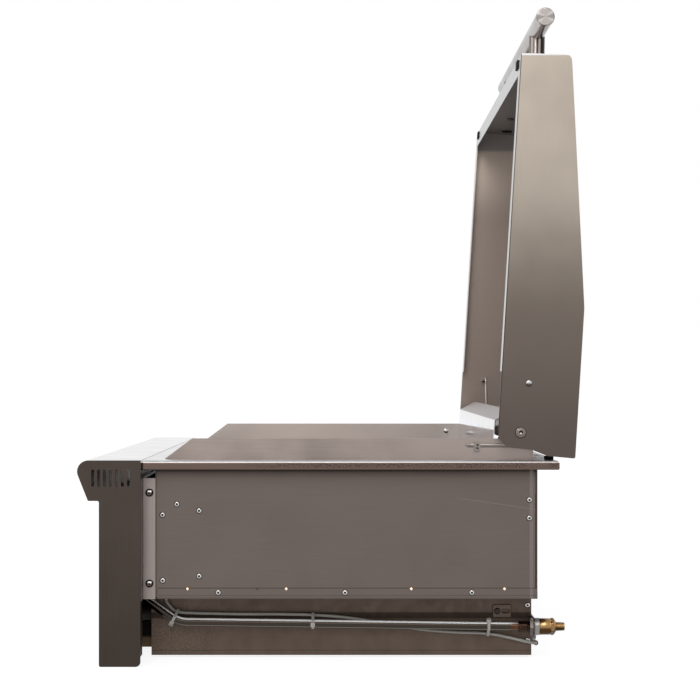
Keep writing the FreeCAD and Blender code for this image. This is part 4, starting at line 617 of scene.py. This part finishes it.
        # Painted shade: the side walls near black
        tray.tint("#0c0a09", wall, 0.95, rough=0.6)
        tray.tint("#64503b", wall, tray.ramp("z", -231, -235), metal=0.7)
        behind_front = tray.product(tray.ramp("y", -258, -263), tray.ramp("width", 296, 290))
        tray.soil_and_shade(behind_front, 0.95, rough=0.7)
        forward = tray.ramp("ny", -0.4, -0.7)
        tray.tint(colours.panel_front, forward, rough=0.36)
        dress(tray, "drip_tray")

    def dress_brackets(self, colours):
        """Pressed steel brackets, dark along their cut edges and round the screw and the slot."""
        metal = plain("steel_bracket_pressed", colours.zinc, 1.0, 0.45, 2.0, 0.03, 0.1)
        low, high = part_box("level_brackets")
        for k, value in ((1, metal.y), (2, metal.z)):
            half = (high[k] - low[k]) / 2 / MM
            aside = metal.aside(value, (low[k] + high[k]) / 2 / MM)
            metal.soil_and_shade(metal.ramp(aside, half - 1.1, half - 0.5), 0.8)
        slot = metal.spot(223, LEVEL_BRACKET_Z, 3.1, 0.4, 2.5)
        metal.soil_and_shade(slot, 0.8)
        screw = metal.spot(211.8, LEVEL_BRACKET_Z, 4.3, 0.3)
        metal.tint("#3a332f", screw, rough=0.3)
        dress(metal, "level_brackets")

    def dress_rim(self, colours, sizes):
        """Stainless rim: pale on top, brown on its folded edge, with a painted highlight along its outer
        bend, painted shade on its front end and rust specks along that edge.
        """
        rim = brushed("stainless_rim_brushed", colours.rim, "Y", 0.22, 0.03, 0.03, 0.1)
        upright = rim.ramp("nz", 0.6, 0.3)
        rim.tint(colours.rim_edge, upright, rim.ramp("ny", -0.8, -0.6), rough=0.42)
        # Painted highlight along the outer bend
        beside = rim.ramp("width", 382, 386)
        rim.tint("#b6b6b6", beside, rim.ramp("nz", 0.4, 0.7))
        # Painted shade on the edge at the front end, in the gap by the panel
        front_end = rim.ramp("y", -257.5, -259)
        rim.soil_and_shade(upright, front_end)
        speck = rim.ramp(rim.patches(sizes.speck, 2.0), 0.51, 0.56)
        cluster = rim.ramp(rim.patches(sizes.smudge, 2.0), 0.32, 0.46)
        row = rim.band("z", 3.5, 8.5, 1.5)
        rear = rim.ramp("y", -170, -60)
        rim.tint(colours.rust, speck, cluster, row, rear, 0.8, metal=0.2, rough=0.8)
        dress(rim, "deck_rim")

    def dress_zinc(self, colours, sizes):
        """Galvanised sheet: crystals of zinc, browned by heat, with a band of painted shade below the firebox
        and a dark line along its low fold.
        """
        zinc = Finish("steel_sheet_galvanised")
        cells = {"Vector": zinc.place, "Scale": 1 / sizes.spangle, "Randomness": 1.0}
        crystal = add(zinc.tree, "ShaderNodeTexVoronoi", cells)
        grey = add(zinc.tree, "ShaderNodeSeparateColor", {0: crystal.outputs["Color"]}).outputs[0]
        cloud = zinc.patches(24 * MM, 6.0)
        fine = zinc.patches(2.5 * MM, 4.0)
        level = zinc.product(zinc.spread(grey, 1, 0.05, 0, 1), zinc.spread(cloud, 1, 0.1))
        zinc.lay(colours.zinc, level, zinc.spread(grey, 0.53, 0.07, 0, 1), cloud, GRAIN_RELIEF, 0.05, 1.0)
        front = zinc.ramp("y", -120, -230)
        zinc.tint("#8a7868", front, zinc.ramp(fine, 0.42, 0.7), 0.25)
        # Painted shade in a band above the gas tube
        under_firebox = zinc.band("z", -203.5, -198, 3)
        zinc.soil_and_shade(under_firebox, 0.75)
        low_fold = zinc.band("z", -248.2, -247.6, 0.4)
        zinc.soil_and_shade(low_fold, 0.4)
        dress(zinc, "burner_box", "tray_housing", "tray_runners", "inlet_bracket")


class GRIDDLE_OT_control_panel(Step, bpy.types.Operator):
    """Finishes of the control panel, its ends, knobs and igniter"""
    bl_idname = "griddle.control_panel"
    bl_label = "Control panel"

    def execute(self, context):
        colours = context.scene.griddle_colours
        # Stainless panel, brushed along its length: duller on its upright front, with painted shade on its
        # inside, strongest below the nose
        panel = brushed("stainless_panel_brushed", colours.panel, "X", 0.2, 0.02, 0.01, 0.05)
        panel.tint(colours.panel_front, panel.ramp("ny", -0.5, -0.9), rough=0.36)
        # Painted shade on the panel's inside, strongest below the nose
        nose = panel.ramp("z", -75, -55)
        inside_shade = panel.maths("MULTIPLY_ADD", nose, -0.45, 0.95)
        panel.soil_and_shade(panel.faces_in((0, -285, -20)), inside_shade, rough=0.42)
        dress(panel, "control_panel")
        # Ends of the same sheet, brushed upright: darker, more so towards their feet, with painted shade
        # inside
        ends = brushed("stainless_end_brushed", colours.panel_end, "Z", 0.45, 0.07, 0.06)
        ends.soil_and_shade(ends.ramp("z", -60, -250), 0.25)
        # Painted shade on the inside faces
        ends.soil_and_shade(ends.ramp("width", PANEL_OUT - 1.1, PANEL_OUT - 1.4), 0.95)
        dress(ends, "panel_end_right", "panel_end_left")
        # Turned stainless knob and bezel, with dark paint in the groove that marks each knob
        knob = brushed("stainless_knob_turned", colours.handle, "X", 0.3, 0.06, 0.04)
        depth = knob.maths("SUBTRACT", knob.y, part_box("knob_right")[0][1] / MM)
        groove = knob.band(depth, 0.6, 1.0, 0.1)
        knob.tint(colours.plastic, knob.ramp("ny", -0.9, -0.97), groove, metal=0.0, rough=0.5)
        dress(knob, "knob_right", "knob_left", "knob_bezels")
        # Moulded black plastic with a fine grain
        dress(plain("plastic_black_moulded", colours.plastic, 0.0, 0.45, 0.6, 0.03),
              "igniter_module", "igniter_button", "lead_connector")
        # Glazed ceramic
        dress(plain("ceramic_glazed", colours.ceramic, 0.0, 0.25, 3.0, 0.01), "igniter_electrodes")
        return {"FINISHED"}


class GRIDDLE_OT_hood(Step, bpy.types.Operator):
    """Finishes of the hood, its handle and its rubber pads"""
    bl_idname = "griddle.hood"
    bl_label = "Hood"

    def execute(self, context):
        colours = context.scene.griddle_colours
        self.dress_sides(colours)
        # Stainless hood shell, brushed across, with painted light on its inside faces in a neutral grey, and
        # a bright tail at the hinge
        shell = brushed("stainless_hood_shell_brushed", colours.hood_light, "X", 0.3, 0.04, 0.05)
        # Painted light on the inside faces
        shell.tint(colours.face_inside, shell.faces_in((0, 262, 300)), rough=0.45)
        self.brighten_lip(shell, colours)
        tail = shell.product(shell.ramp("nz", -0.4, -0.7), shell.ramp("z", 80, 60))
        shell.tint(colours.polished, tail, rough=0.15)
        dress(shell, "hood_shell")
        self.dress_bar(colours)
        self.dress_caps(colours)
        self.dress_posts(colours)
        # Moulded rubber, matt
        rubber = plain("rubber_black_moulded", colours.rubber, 0.0, 0.7, 0.8, 0.05)
        rubber.shader.inputs["Specular IOR Level"].default_value = 0.15
        dress(rubber, "lip_pads", "hood_stops")
        return {"FINISHED"}

    def dress_sides(self, colours):
        """Hood sides brushed upright when open: a painted reflection darkens them towards the hinge; inside,
        tinted by heat and by painted light and shade; outside, painted shade.
        """
        side = brushed("stainless_hood_side_brushed", colours.hood_light, "Z", 0.36, 0.03, 0.03)
        # Painted reflection: darker towards the hinge, and a painted highlight along the top edge
        for colour, low, high in ((colours.hood_reflection_middle, 420, 180), (colours.hood_reflection_hinge, 200, 20),
                                  (colours.polished, 546.8, 548.2)):
            side.tint(colour, side.ramp("z", low, high))
        inside = side.ramp("width", HOOD_OUT - 0.7, HOOD_OUT - 0.8)
        # Inside: a heat-tinted tone, set paler as painted light
        side.tint(colours.hood_inside, inside, rough=0.45)
        # Painted light and shade inside: paler high up, painted shade at the top corner, a painted pale strip
        # low down and painted shade at the foot
        for shade, low, high, metal in (("#d9c9bb", 390, 505, 1.0), ("#a8a09a", 515, 522, 1.0),
                                        ("#e8e4e2", 62, 56, 0.5), ("#4a413d", 37, 33, 1.0)):
            side.tint(shade, inside, side.ramp("z", low, high), metal=metal)
        outside = side.ramp("width", HOOD_OUT - 0.2, HOOD_OUT)
        slant = side.maths("MULTIPLY_ADD", side.z, -0.06105, side.product(side.y, 0.99813))
        # Painted shade along the front fold, outside
        front_fold = side.band(slant, 203, 206, 0.6)
        side.soil_and_shade(outside, front_fold, 0.7)
        # Painted shadow round the pivot, outside
        round_pivot = side.spot(PIVOT_Y, PIVOT_Z - 0.5, 7.6, 0.8)
        side.soil_and_shade(outside, round_pivot, 0.5)
        self.brighten_lip(side, colours)
        dress(side, "hood_side_right", "hood_side_left")

    def brighten_lip(self, finish, colours):
        """A painted highlight: pale, glossy steel on the flanges that face the cook when the hood is open."""
        forward = finish.ramp("ny", -0.8, -0.95)
        finish.tint(colours.lip, forward, finish.ramp("y", 262, 258), rough=0.2)

    def dress_bar(self, colours):
        """Stainless bar brushed along its length: a painted highlight below its rear, painted shade
        underneath beyond the posts.
        """
        bar = brushed("stainless_bar_brushed", colours.bar, "X", 0.22, 0.06, 0.03)
        below = bar.ramp("nz", -0.3, -0.45)
        # Painted highlight below the rear
        bar.tint("#e9e7e7", below, bar.ramp("ny", 0.45, 0.6))
        beyond_posts = bar.ramp("width", 190, 200)
        # Painted shade underneath, beyond the posts
        bar.tint("#3f3936", below, beyond_posts, bar.band("ny", 0.0, 0.42, 0.2), 0.85)
        dress(bar, "handle_bar")

    def dress_posts(self, colours):
        """Turned handle posts, with painted light and shade in bands round them."""
        posts = brushed("stainless_post_turned", colours.post, "Z", 0.24, 0.05, 0.03)
        # Painted light and shade, banded by which way each face turns
        for low, high, soft, shade in ((-1.2, -0.85, 0.1, "#6a605b"), (-0.75, -0.45, 0.1, "#857b76"),
                                       (-0.38, -0.26, 0.08, "#c2bab5"), (-0.15, 0.03, 0.08, "#5f554f"),
                                       (0.14, 0.28, 0.08, "#aaa09b"), (0.42, 0.86, 0.1, "#2c2725")):
            posts.tint(shade, posts.band("ny", low, high, soft))
        dress(posts, "handle_posts")

    def dress_caps(self, colours):
        """Turned handle caps: a painted reflection of the lathe's rings, in light and dark wedges across each
        end.
        """
        caps = brushed("stainless_cap_turned", colours.handle, "X", 0.3, 0.04, 0.03)
        middle = middle_of(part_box("handle_caps")) / MM
        forward = caps.maths("SUBTRACT", caps.y, middle.y)
        up = caps.maths("SUBTRACT", caps.z, middle.z)
        angle = caps.maths("ARCTAN2", up, forward)
        wedge = caps.maths("COSINE", caps.maths("MULTIPLY_ADD", angle, 2.0, -0.16))
        # Painted reflection: light wedges, then dark ones
        caps.tint(colours.bright, caps.band(wedge, 0.25, 0.6, 0.25), 0.25)
        caps.tint("#716b68", caps.ramp(wedge, 0.7, 0.92), 0.6)
        dress(caps, "handle_caps")


class GRIDDLE_OT_fixings(Step, bpy.types.Operator):
    """Finishes of rivets, screws and bolts, with the dots and dome nuts that are made here"""
    bl_idname = "griddle.fixings"
    bl_label = "Fixings"

    def execute(self, context):
        colours = context.scene.griddle_colours
        sizes = context.scene.griddle_sizes
        # Nickel-plated steel: bright, with painted shade under each head, and rougher and painted dark on the
        # screws inside the hood
        bright = plain("steel_nickel_plated", colours.bright, 1.0, 0.18, 1.5, 0.01, 0.08)
        self.shade_underside(bright)
        # Painted shade on the screws inside the hood, which are also rougher
        bright.tint("#6b6867", bright.ramp("z", 480, 500), rough=0.45)
        # Painted shade on the lower half of the spring's screw
        painted_light_spot = bright.spot(SPRING_SCREW_Y, SPRING_SCREW_Z, 6.0, 0.5)
        bright.soil_and_shade(painted_light_spot, bright.ramp("z", 114.1, 112.4), 0.85)
        dress(bright, "pop_rivets", "hood_screws")
        self.dress_pivots(colours)
        self.dress_panel_screws()
        self.make_dots(colours, sizes)
        domes = bmesh.new()
        for sign in (1, -1):
            centre = Vector((sign * GUARD_IN, DOME_NUT_Y, DOME_NUT_Z)) * MM
            self.add_dome(domes, centre, -sign, sizes.dome, DOME_NUT_HEIGHT * MM)
        new_piece("guard_dome_nuts", domes, bright, "base")
        self.make_mandrels(sizes)
        return {"FINISHED"}

    def shade_underside(self, finish):
        """Painted shade: darkens what faces down."""
        finish.soil_and_shade(finish.ramp("nz", 0.1, -0.5), 0.8)

    def dress_pivots(self, colours):
        """Zinc-plated steel: dull grey heads, with painted shade below, round the edge, in the socket and in
        the clips' holes, and painted highlights on the upper edge and in the socket.
        """
        dull = plain("steel_zinc_plated", colours.dull, 1.0, 0.3, 1.5, 0.01, 0.12)
        self.shade_underside(dull)
        head = dull.spot(PIVOT_Y, PIVOT_Z, 6.0, 0.4)
        dull.tint("#8a827d", head, rough=0.42)
        # Painted shadow round the head's edge
        edge = dull.maths("SUBTRACT", dull.spot(PIVOT_Y, PIVOT_Z - 0.5, 7.4, 0.3), head)
        dull.soil_and_shade(edge, 0.7)
        # Painted highlight on the upper edge
        painted_light_spot = dull.spot(PIVOT_Y - 3.8, PIVOT_Z + 3.7, 0.6, 0.9)
        dull.tint("#c8c0bc", painted_light_spot)
        # Painted shade in the socket, with a painted highlight low in it
        socket = dull.spot(PIVOT_Y, PIVOT_Z + 0.2, 2.6, 0.6)
        dull.soil_and_shade(socket, 0.9)
        floor = dull.spot(PIVOT_Y, PIVOT_Z - 1.3, 0.5, 0.5, 0.6)
        dull.tint("#efe8e4", floor)
        # Painted shade in the clips' holes
        for z, radius in ((30.6, 1.5), (26.2, 1.2)):
            clip_hole = dull.spot(CLIP_Y, z, radius, 0.4)
            dull.soil_and_shade(clip_hole, 0.8)
        dress(dull, "pivot_bolts", "pivot_rings", "spring_clips")

    def dress_panel_screws(self):
        """Steel screws painted dark as a painted reflection, with painted shade below, on each head's outer
        ring and in its recess, and a painted highlight above the recess.
        """
        black = plain("steel_screw_painted_dark", "#5a524d", 1.0, 0.25, 1.5, 0.01, 0.12)
        self.shade_underside(black)
        for z in PANEL_SCREW_HEIGHTS:
            # Painted shade on each head's outer ring
            edge = black.maths("SUBTRACT", black.spot(PANEL_SCREW_Y, z, 5.6, 0.3),
                               black.spot(PANEL_SCREW_Y, z, 2.9, 0.6))
            black.tint("#0e0b0a", edge, 0.95)
            # Painted highlight above the recess
            painted_light_spot = black.spot(PANEL_SCREW_Y + 0.5, z + 1.7, 0.9, 0.8, 1.2)
            black.tint("#f7f4f1", painted_light_spot)
            # Painted shade in the recess
            recess = black.spot(PANEL_SCREW_Y - 0.2, z - 0.1, 1.1, 0.5)
            black.tint("#0e0b0a", recess)
        dress(black, "panel_screws")

    def make_dots(self, colours, sizes):
        """Copper dots, as pressed: warm and bright, with a painted highlight on top."""
        copper = plain("copper_pressed", colours.copper, 1.0, 0.25, 1.0, 0.02, 0.1)
        # Painted highlight on each dot's crown
        facing = copper.maths("ABSOLUTE", copper.nx)
        copper.tint("#fdf3e6", copper.ramp(facing, 0.7, 0.95))
        dots = bmesh.new()
        for sign in (1, -1):
            for y in DOT_PLACES:
                centre = Vector((sign * SIDE_OUT, y, DOT_Z)) * MM
                self.add_dome(dots, centre, sign, sizes.dot, DOT_HEIGHT * MM)
        new_piece("flange_dots", dots, copper, "base")

    def make_mandrels(self, sizes):
        """Broken mandrels in the rivets' holes and rings round the rivets, dark and rough: painted shade and
        painted shadow.
        """
        dark = plain("steel_mandrel_painted_shade", "#0f0c0a", 0.0, 0.7, 0.6, 0.05)
        sunk = 0.15 * MM
        shadow_height = 0.12 * MM
        mandrel_height = 0.3 * MM
        pins = bmesh.new()
        for low, high in self.heads("pop_rivets"):
            sign = 1 if low.x > 0 else -1
            foot, top = (low.x, high.x) if sign > 0 else (high.x, low.x)
            y, z = ((low + high) / 2).yz
            # Painted shadow round each rivet, and a dark mandrel as painted shade in its hole
            self.add_dome(pins, Vector((foot, y, z)), sign, sizes.shadow_ring, shadow_height)
            self.add_dome(pins, Vector((top - sign * sunk, y, z)), sign, sizes.mandrel, mandrel_height)
        new_piece("rivet_mandrels", pins, dark, "base")

    def heads(self, node):
        """The lowest and highest corner of each separate solid of a CAD node, in order of place."""
        bm = bmesh.new()
        bm.from_mesh(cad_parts[node].data)
        bmesh.ops.remove_doubles(bm, verts=bm.verts, dist=0.001 * MM)
        left = set(bm.verts)
        boxes = []
        while left:
            reached = [left.pop()]
            for vert in reached:
                for edge in vert.link_edges:
                    other = edge.other_vert(vert)
                    if other in left:
                        left.remove(other)
                        reached.append(other)
            boxes.append([Vector([pick(v.co[k] for v in reached) for k in range(3)])
                          for pick in (min, max)])
        bm.free()
        return sorted(boxes, key=lambda box: tuple(box[0]))

    def add_dome(self, bm, centre, sign, radius, height):
        """A domed head on a wall across X, with its rim standing off the wall."""
        rim = 0.25
        angles = [pi / 2 * k / DOME_STEPS for k in range(DOME_STEPS)]
        rows = [(radius, 0.0)]
        rows += [(radius * cos(a), height * (rim + (1 - rim) * sin(a))) for a in angles]
        skin(bm, [[centre + Vector((sign * out, reach * cos(a), reach * sin(a)))
                   for a in circle(DOME_SIDES)] for reach, out in rows])


class GRIDDLE_OT_springs(Step, bpy.types.Operator):
    """Counterbalance springs: one wire each, from the guard through the coil to the hood's screw"""
    bl_idname = "griddle.springs"
    bl_label = "Springs"

    def execute(self, context):
        sizes = context.scene.griddle_sizes
        # Drawn spring wire: grey and smooth, with painted shade on the lower leg
        wire = plain("steel_wire_drawn", context.scene.griddle_colours.wire, 1.0, 0.42, 1.2, 0.01)
        # Painted shade on the lower leg
        wire.tint("#9d968f", wire.ramp("z", 36, 34))
        for side, sign in (("right", 1), ("left", -1)):
            points = [Vector((sign * p.x, p.y, p.z)) for p in self.way(sizes)]
            bm = bmesh.new()
            skin(bm, tube_rings(points, sizes.spring_wire, WIRE_SIDES))
            piece = new_piece("spring_wire_" + side, bm, wire, None)
            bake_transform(piece)
            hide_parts("spring_" + side)
        return {"FINISHED"}

    def way(self, sizes):
        """Points of the right spring: lower leg, coil and upper leg."""
        turns = 5
        gap = 0.3 * MM
        screw_radius = 2.5 * MM
        lower_leg = 70.8 * MM
        past_screw = 8 * MM
        pivot = Vector((0, PIVOT_Y, PIVOT_Z)) * MM
        screw = Vector((0, SPRING_SCREW_Y, SPRING_SCREW_Z)) * MM - pivot
        start_x = GUARD_OUT * MM + gap + sizes.spring_wire
        facing = atan2(screw.z, screw.y)
        pass_by = screw_radius + sizes.spring_wire + gap
        last_angle = facing - acos((sizes.spring_coil - pass_by) / screw.length)
        first_angle = -pi / 2
        total = last_angle - first_angle + 2 * pi * turns
        climb = sizes.spring_pitch / (2 * pi)
        steps = COIL_STEPS * turns

        def coil(k):
            a = first_angle + total * k / steps
            round_pivot = Vector((0, cos(a), sin(a))) * sizes.spring_coil
            return pivot + round_pivot + Vector((start_x + climb * (a - first_angle), 0, 0))
        points = [coil(0) - Vector((0, lower_leg * (1 - k / LEG_STEPS), 0)) for k in range(LEG_STEPS)]
        points += [coil(k) for k in range(steps + 1)]
        away = Vector((0, -sin(last_angle), cos(last_angle)))
        leg = screw.length * sin(facing - last_angle) + past_screw
        points += [coil(steps) + away * leg * k / LEG_STEPS for k in range(1, LEG_STEPS + 1)]
        return points


class GRIDDLE_OT_gas_line(Step, bpy.types.Operator):
    """Gas tube's finishes, and the brass inlet with its thread"""
    bl_idname = "griddle.gas_line"
    bl_label = "Gas line"

    def execute(self, context):
        colours = context.scene.griddle_colours
        # Drawn stainless tube: smooth, with lines along it, a painted highlight along its top, painted shade
        # below that, a painted pale reflection low down, and browned by the brazing at its end
        tube = brushed("stainless_tube_drawn", colours.tube, "Y", 0.16, 0.04, 0.05)
        # Painted shade in a band below the highlight
        tube.soil_and_shade(tube.band("nz", 0.34, 0.56, 0.08), 0.6)
        # Painted highlight along the top
        crest = tube.band("nz", 0.68, 1.1, 0.1)
        tube.tint("#ffffff", crest, metal=0.0)
        # Painted reflection: a pale line low down
        tube.tint("#a79e97", tube.band("nz", -0.78, -0.66, 0.06), 0.4)
        tube.tint("#5f3a22", tube.ramp("y", 222, 238), 0.7)
        dress(tube, "gas_tube", "gas_manifold")
        # Plated nut and washer, browned where the sleeve was brazed
        rings = plain("steel_ring_plated", "#5f5b58", 1.0, 0.28, 1.5, 0.02, 0.1)
        rings.tint("#949494", rings.ramp("y", 259, 261), 0.7)
        brazed = rings.ramp("y", 253, 251)
        rings.tint("#33261f", brazed)
        flux = rings.ramp(rings.patches(2.4 * MM, 2.0), 0.6, 0.74)
        rings.tint("#7a4a2c", brazed, flux, 0.6)
        dress(rings, "inlet_rings")
        # Machined brass: warm, with a painted dark reflection on top, painted shade below, and dark next to
        # the brazed sleeve
        brass = plain("brass_machined", colours.brass, 1.0, 0.24, 1.2, 0.01)
        # Painted shade on what faces down
        brass.tint("#33210f", brass.ramp("nz", 0.2, -0.25), 0.92)
        # Painted dark reflection on top
        brass.tint("#4a3524", brass.ramp("nz", 0.45, 0.85), 0.5)
        brass.tint("#2b1f16", brass.ramp("y", 263, 261), brass.ramp("y", 248, 250))
        dress(brass, "valve_bodies", "valve_plug_right", "valve_plug_left",
              "valve_stem_right", "valve_stem_left", "pivot_bushes")
        self.make_inlet(brass)
        return {"FINISHED"}

    def make_inlet(self, brass):
        """Brass inlet turned from hexagon bar, with a chamfered hexagon and a cut thread, in millimetres."""
        start_y = 250.0
        collar_y = 266.3
        hexagon_y = 281.9
        end_y = 288.6
        tip_y = 300.6
        bore = 4.0
        bore_depth = 20.0
        spigot = 6.5
        collar = 11.0
        half_flat = 10.0
        shoulder = 7.8
        chamfer = 0.6
        pitch = 1.4
        root = 5.6
        taper = 0.5
        thread_height = 0.65
        runout = 2.0

        def hexagon(a, y):
            flat = half_flat / cos((a + pi / 6) % (pi / 3) - pi / 6)
            return min(flat, half_flat * 1.07 + (y - hexagon_y) * 1.6, shoulder + (end_y - y) * 1.2)

        def thread(a, y):
            turn = (y / pitch - a / (2 * pi)) % 1.0
            core = root - taper * (y - end_y) / (tip_y - end_y)
            return core + thread_height * (1 - abs(2 * turn - 1)) * min(1.0, 0.2 + (tip_y - y) / runout)
        rows = [(start_y, bore), (start_y, spigot - 0.5), (start_y + chamfer, spigot), (collar_y, spigot),
                (collar_y, collar - chamfer), (collar_y + chamfer, collar), (hexagon_y - 2 * chamfer, collar),
                (hexagon_y, collar - 0.8), (hexagon_y, hexagon)]
        rows += [(hexagon_y + (end_y - hexagon_y) * k / HEXAGON_STEPS, hexagon)
                 for k in range(1, HEXAGON_STEPS + 1)]
        rows += [(end_y, root + 0.1)]
        rows += [(end_y + (tip_y - end_y) * k / THREAD_STEPS, thread) for k in range(1, THREAD_STEPS + 1)]
        rows += [(tip_y, bore + chamfer), (tip_y - chamfer, bore), (tip_y - bore_depth, bore)]
        bm = bmesh.new()
        skin(bm, turned_rings(middle_of(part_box("gas_inlet")), rows, INLET_SIDES))
        piece = new_piece("gas_inlet_threaded", bm, brass, "base")
        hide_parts("gas_inlet")


class GRIDDLE_OT_power_lead(Step, bpy.types.Operator):
    """Power lead as one smooth line, and the finishes of its ties and clips"""
    bl_idname = "griddle.power_lead"
    bl_label = "Power lead"

    def execute(self, context):
        colours = context.scene.griddle_colours
        # Extruded sheath: soft grey, faintly dirty
        sheath = plain("plastic_sheath_extruded", colours.lead, 0.0, 0.5, 2.0, 0.02, 0.1)
        curve = bpy.data.curves.new("power_lead_sheath", "CURVE")
        curve.dimensions = "3D"
        curve.bevel_depth = context.scene.griddle_sizes.lead
        curve.bevel_resolution = 4
        curve.use_fill_caps = True
        points = self.route()
        spline = curve.splines.new("NURBS")
        spline.points.add(len(points) - 1)
        for point, place in zip(spline.points, points):
            point.co = (place[0] * MM, place[1] * MM, place[2] * MM, 1.0)
        spline.order_u = 3
        spline.use_endpoint_u = True
        spline.resolution_u = 12
        piece = new_piece("power_lead_sheath", curve, sheath, "base")
        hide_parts("power_lead")
        # Moulded nylon: pale and a little see-through in life, drawn as matt
        dress(plain("nylon_moulded", colours.nylon, 0.0, 0.5, 1.0, 0.02), "cable_ties")
        # Pressed steel clips, galvanised
        dress(plain("steel_clip_galvanised", colours.zinc, 1.0, 0.45, 2.0, 0.02, 0.1), "lead_fixings")
        return {"FINISHED"}

    def route(self):
        """The lead's points in millimetres, from the floor's grommet to the connector."""
        wall = 330.0
        front = -260.5
        back = 258.2
        level = -207.4
        entry = (wall + 8.0, front + 24.5)
        along = ((0.0559, 8.2, 21.4), (0.0752, 8.0, 11.4), (0.1350, 7.0, 10.6), (0.2352, 7.4, 9.2),
                 (0.3432, 6.6, 9.4), (0.4434, 6.8, 8.0), (0.5244, 4.4, 4.4), (0.6131, 4.0, -3.6),
                 (0.7056, 4.8, -11.6), (0.7943, 6.6, -15.2), (0.8882, 7.2, -16.2), (0.9422, 5.6, -22.6))
        turn = ((7.2, 7.0, -31.2), (6.6, -28.0, -33.0), (6.3, -52.0, -33.0))
        return ([entry + (-164.3,), entry + (-178.5,)]
                + [(wall + out, front + share * (back - front), level + rise) for share, out, rise in along]
                + [(wall + out, back + behind, level + rise) for behind, out, rise in turn])


class GRIDDLE_PT_panel(bpy.types.Panel):
    """The steps that make the griddle's looks, and the values to change"""
    bl_idname = "GRIDDLE_PT_panel"
    bl_label = "Built-in griddle"
    bl_space_type = "VIEW_3D"
    bl_region_type = "UI"
    bl_category = "Griddle"

    def draw(self, context):
        for step in STEPS:
            self.layout.operator(step.bl_idname)
        for group in (context.scene.griddle_colours, context.scene.griddle_sizes):
            for name in group.__annotations__:
                self.layout.prop(group, name)


STEPS = (GRIDDLE_OT_stage, GRIDDLE_OT_firebox, GRIDDLE_OT_control_panel, GRIDDLE_OT_hood, GRIDDLE_OT_fixings,
         GRIDDLE_OT_springs, GRIDDLE_OT_gas_line, GRIDDLE_OT_power_lead)
CLASSES = (GriddleColours, GriddleSizes) + STEPS + (GRIDDLE_PT_panel,)


def register():
    """Makes the steps, the sidebar and its values known to Blender."""
    for item in CLASSES:
        bpy.utils.register_class(item)
    bpy.types.Scene.griddle_colours = PointerProperty(type=GriddleColours)
    bpy.types.Scene.griddle_sizes = PointerProperty(type=GriddleSizes)


def unregister():
    """Takes back what register made known."""
    del bpy.types.Scene.griddle_colours
    del bpy.types.Scene.griddle_sizes
    for item in reversed(CLASSES):
        bpy.utils.unregister_class(item)


def main():
    """Runs every step."""
    register()
    for step in STEPS:
        group, name = step.bl_idname.split(".")
        getattr(getattr(bpy.ops, group), name)()


if __name__ == "__main__":
    main()
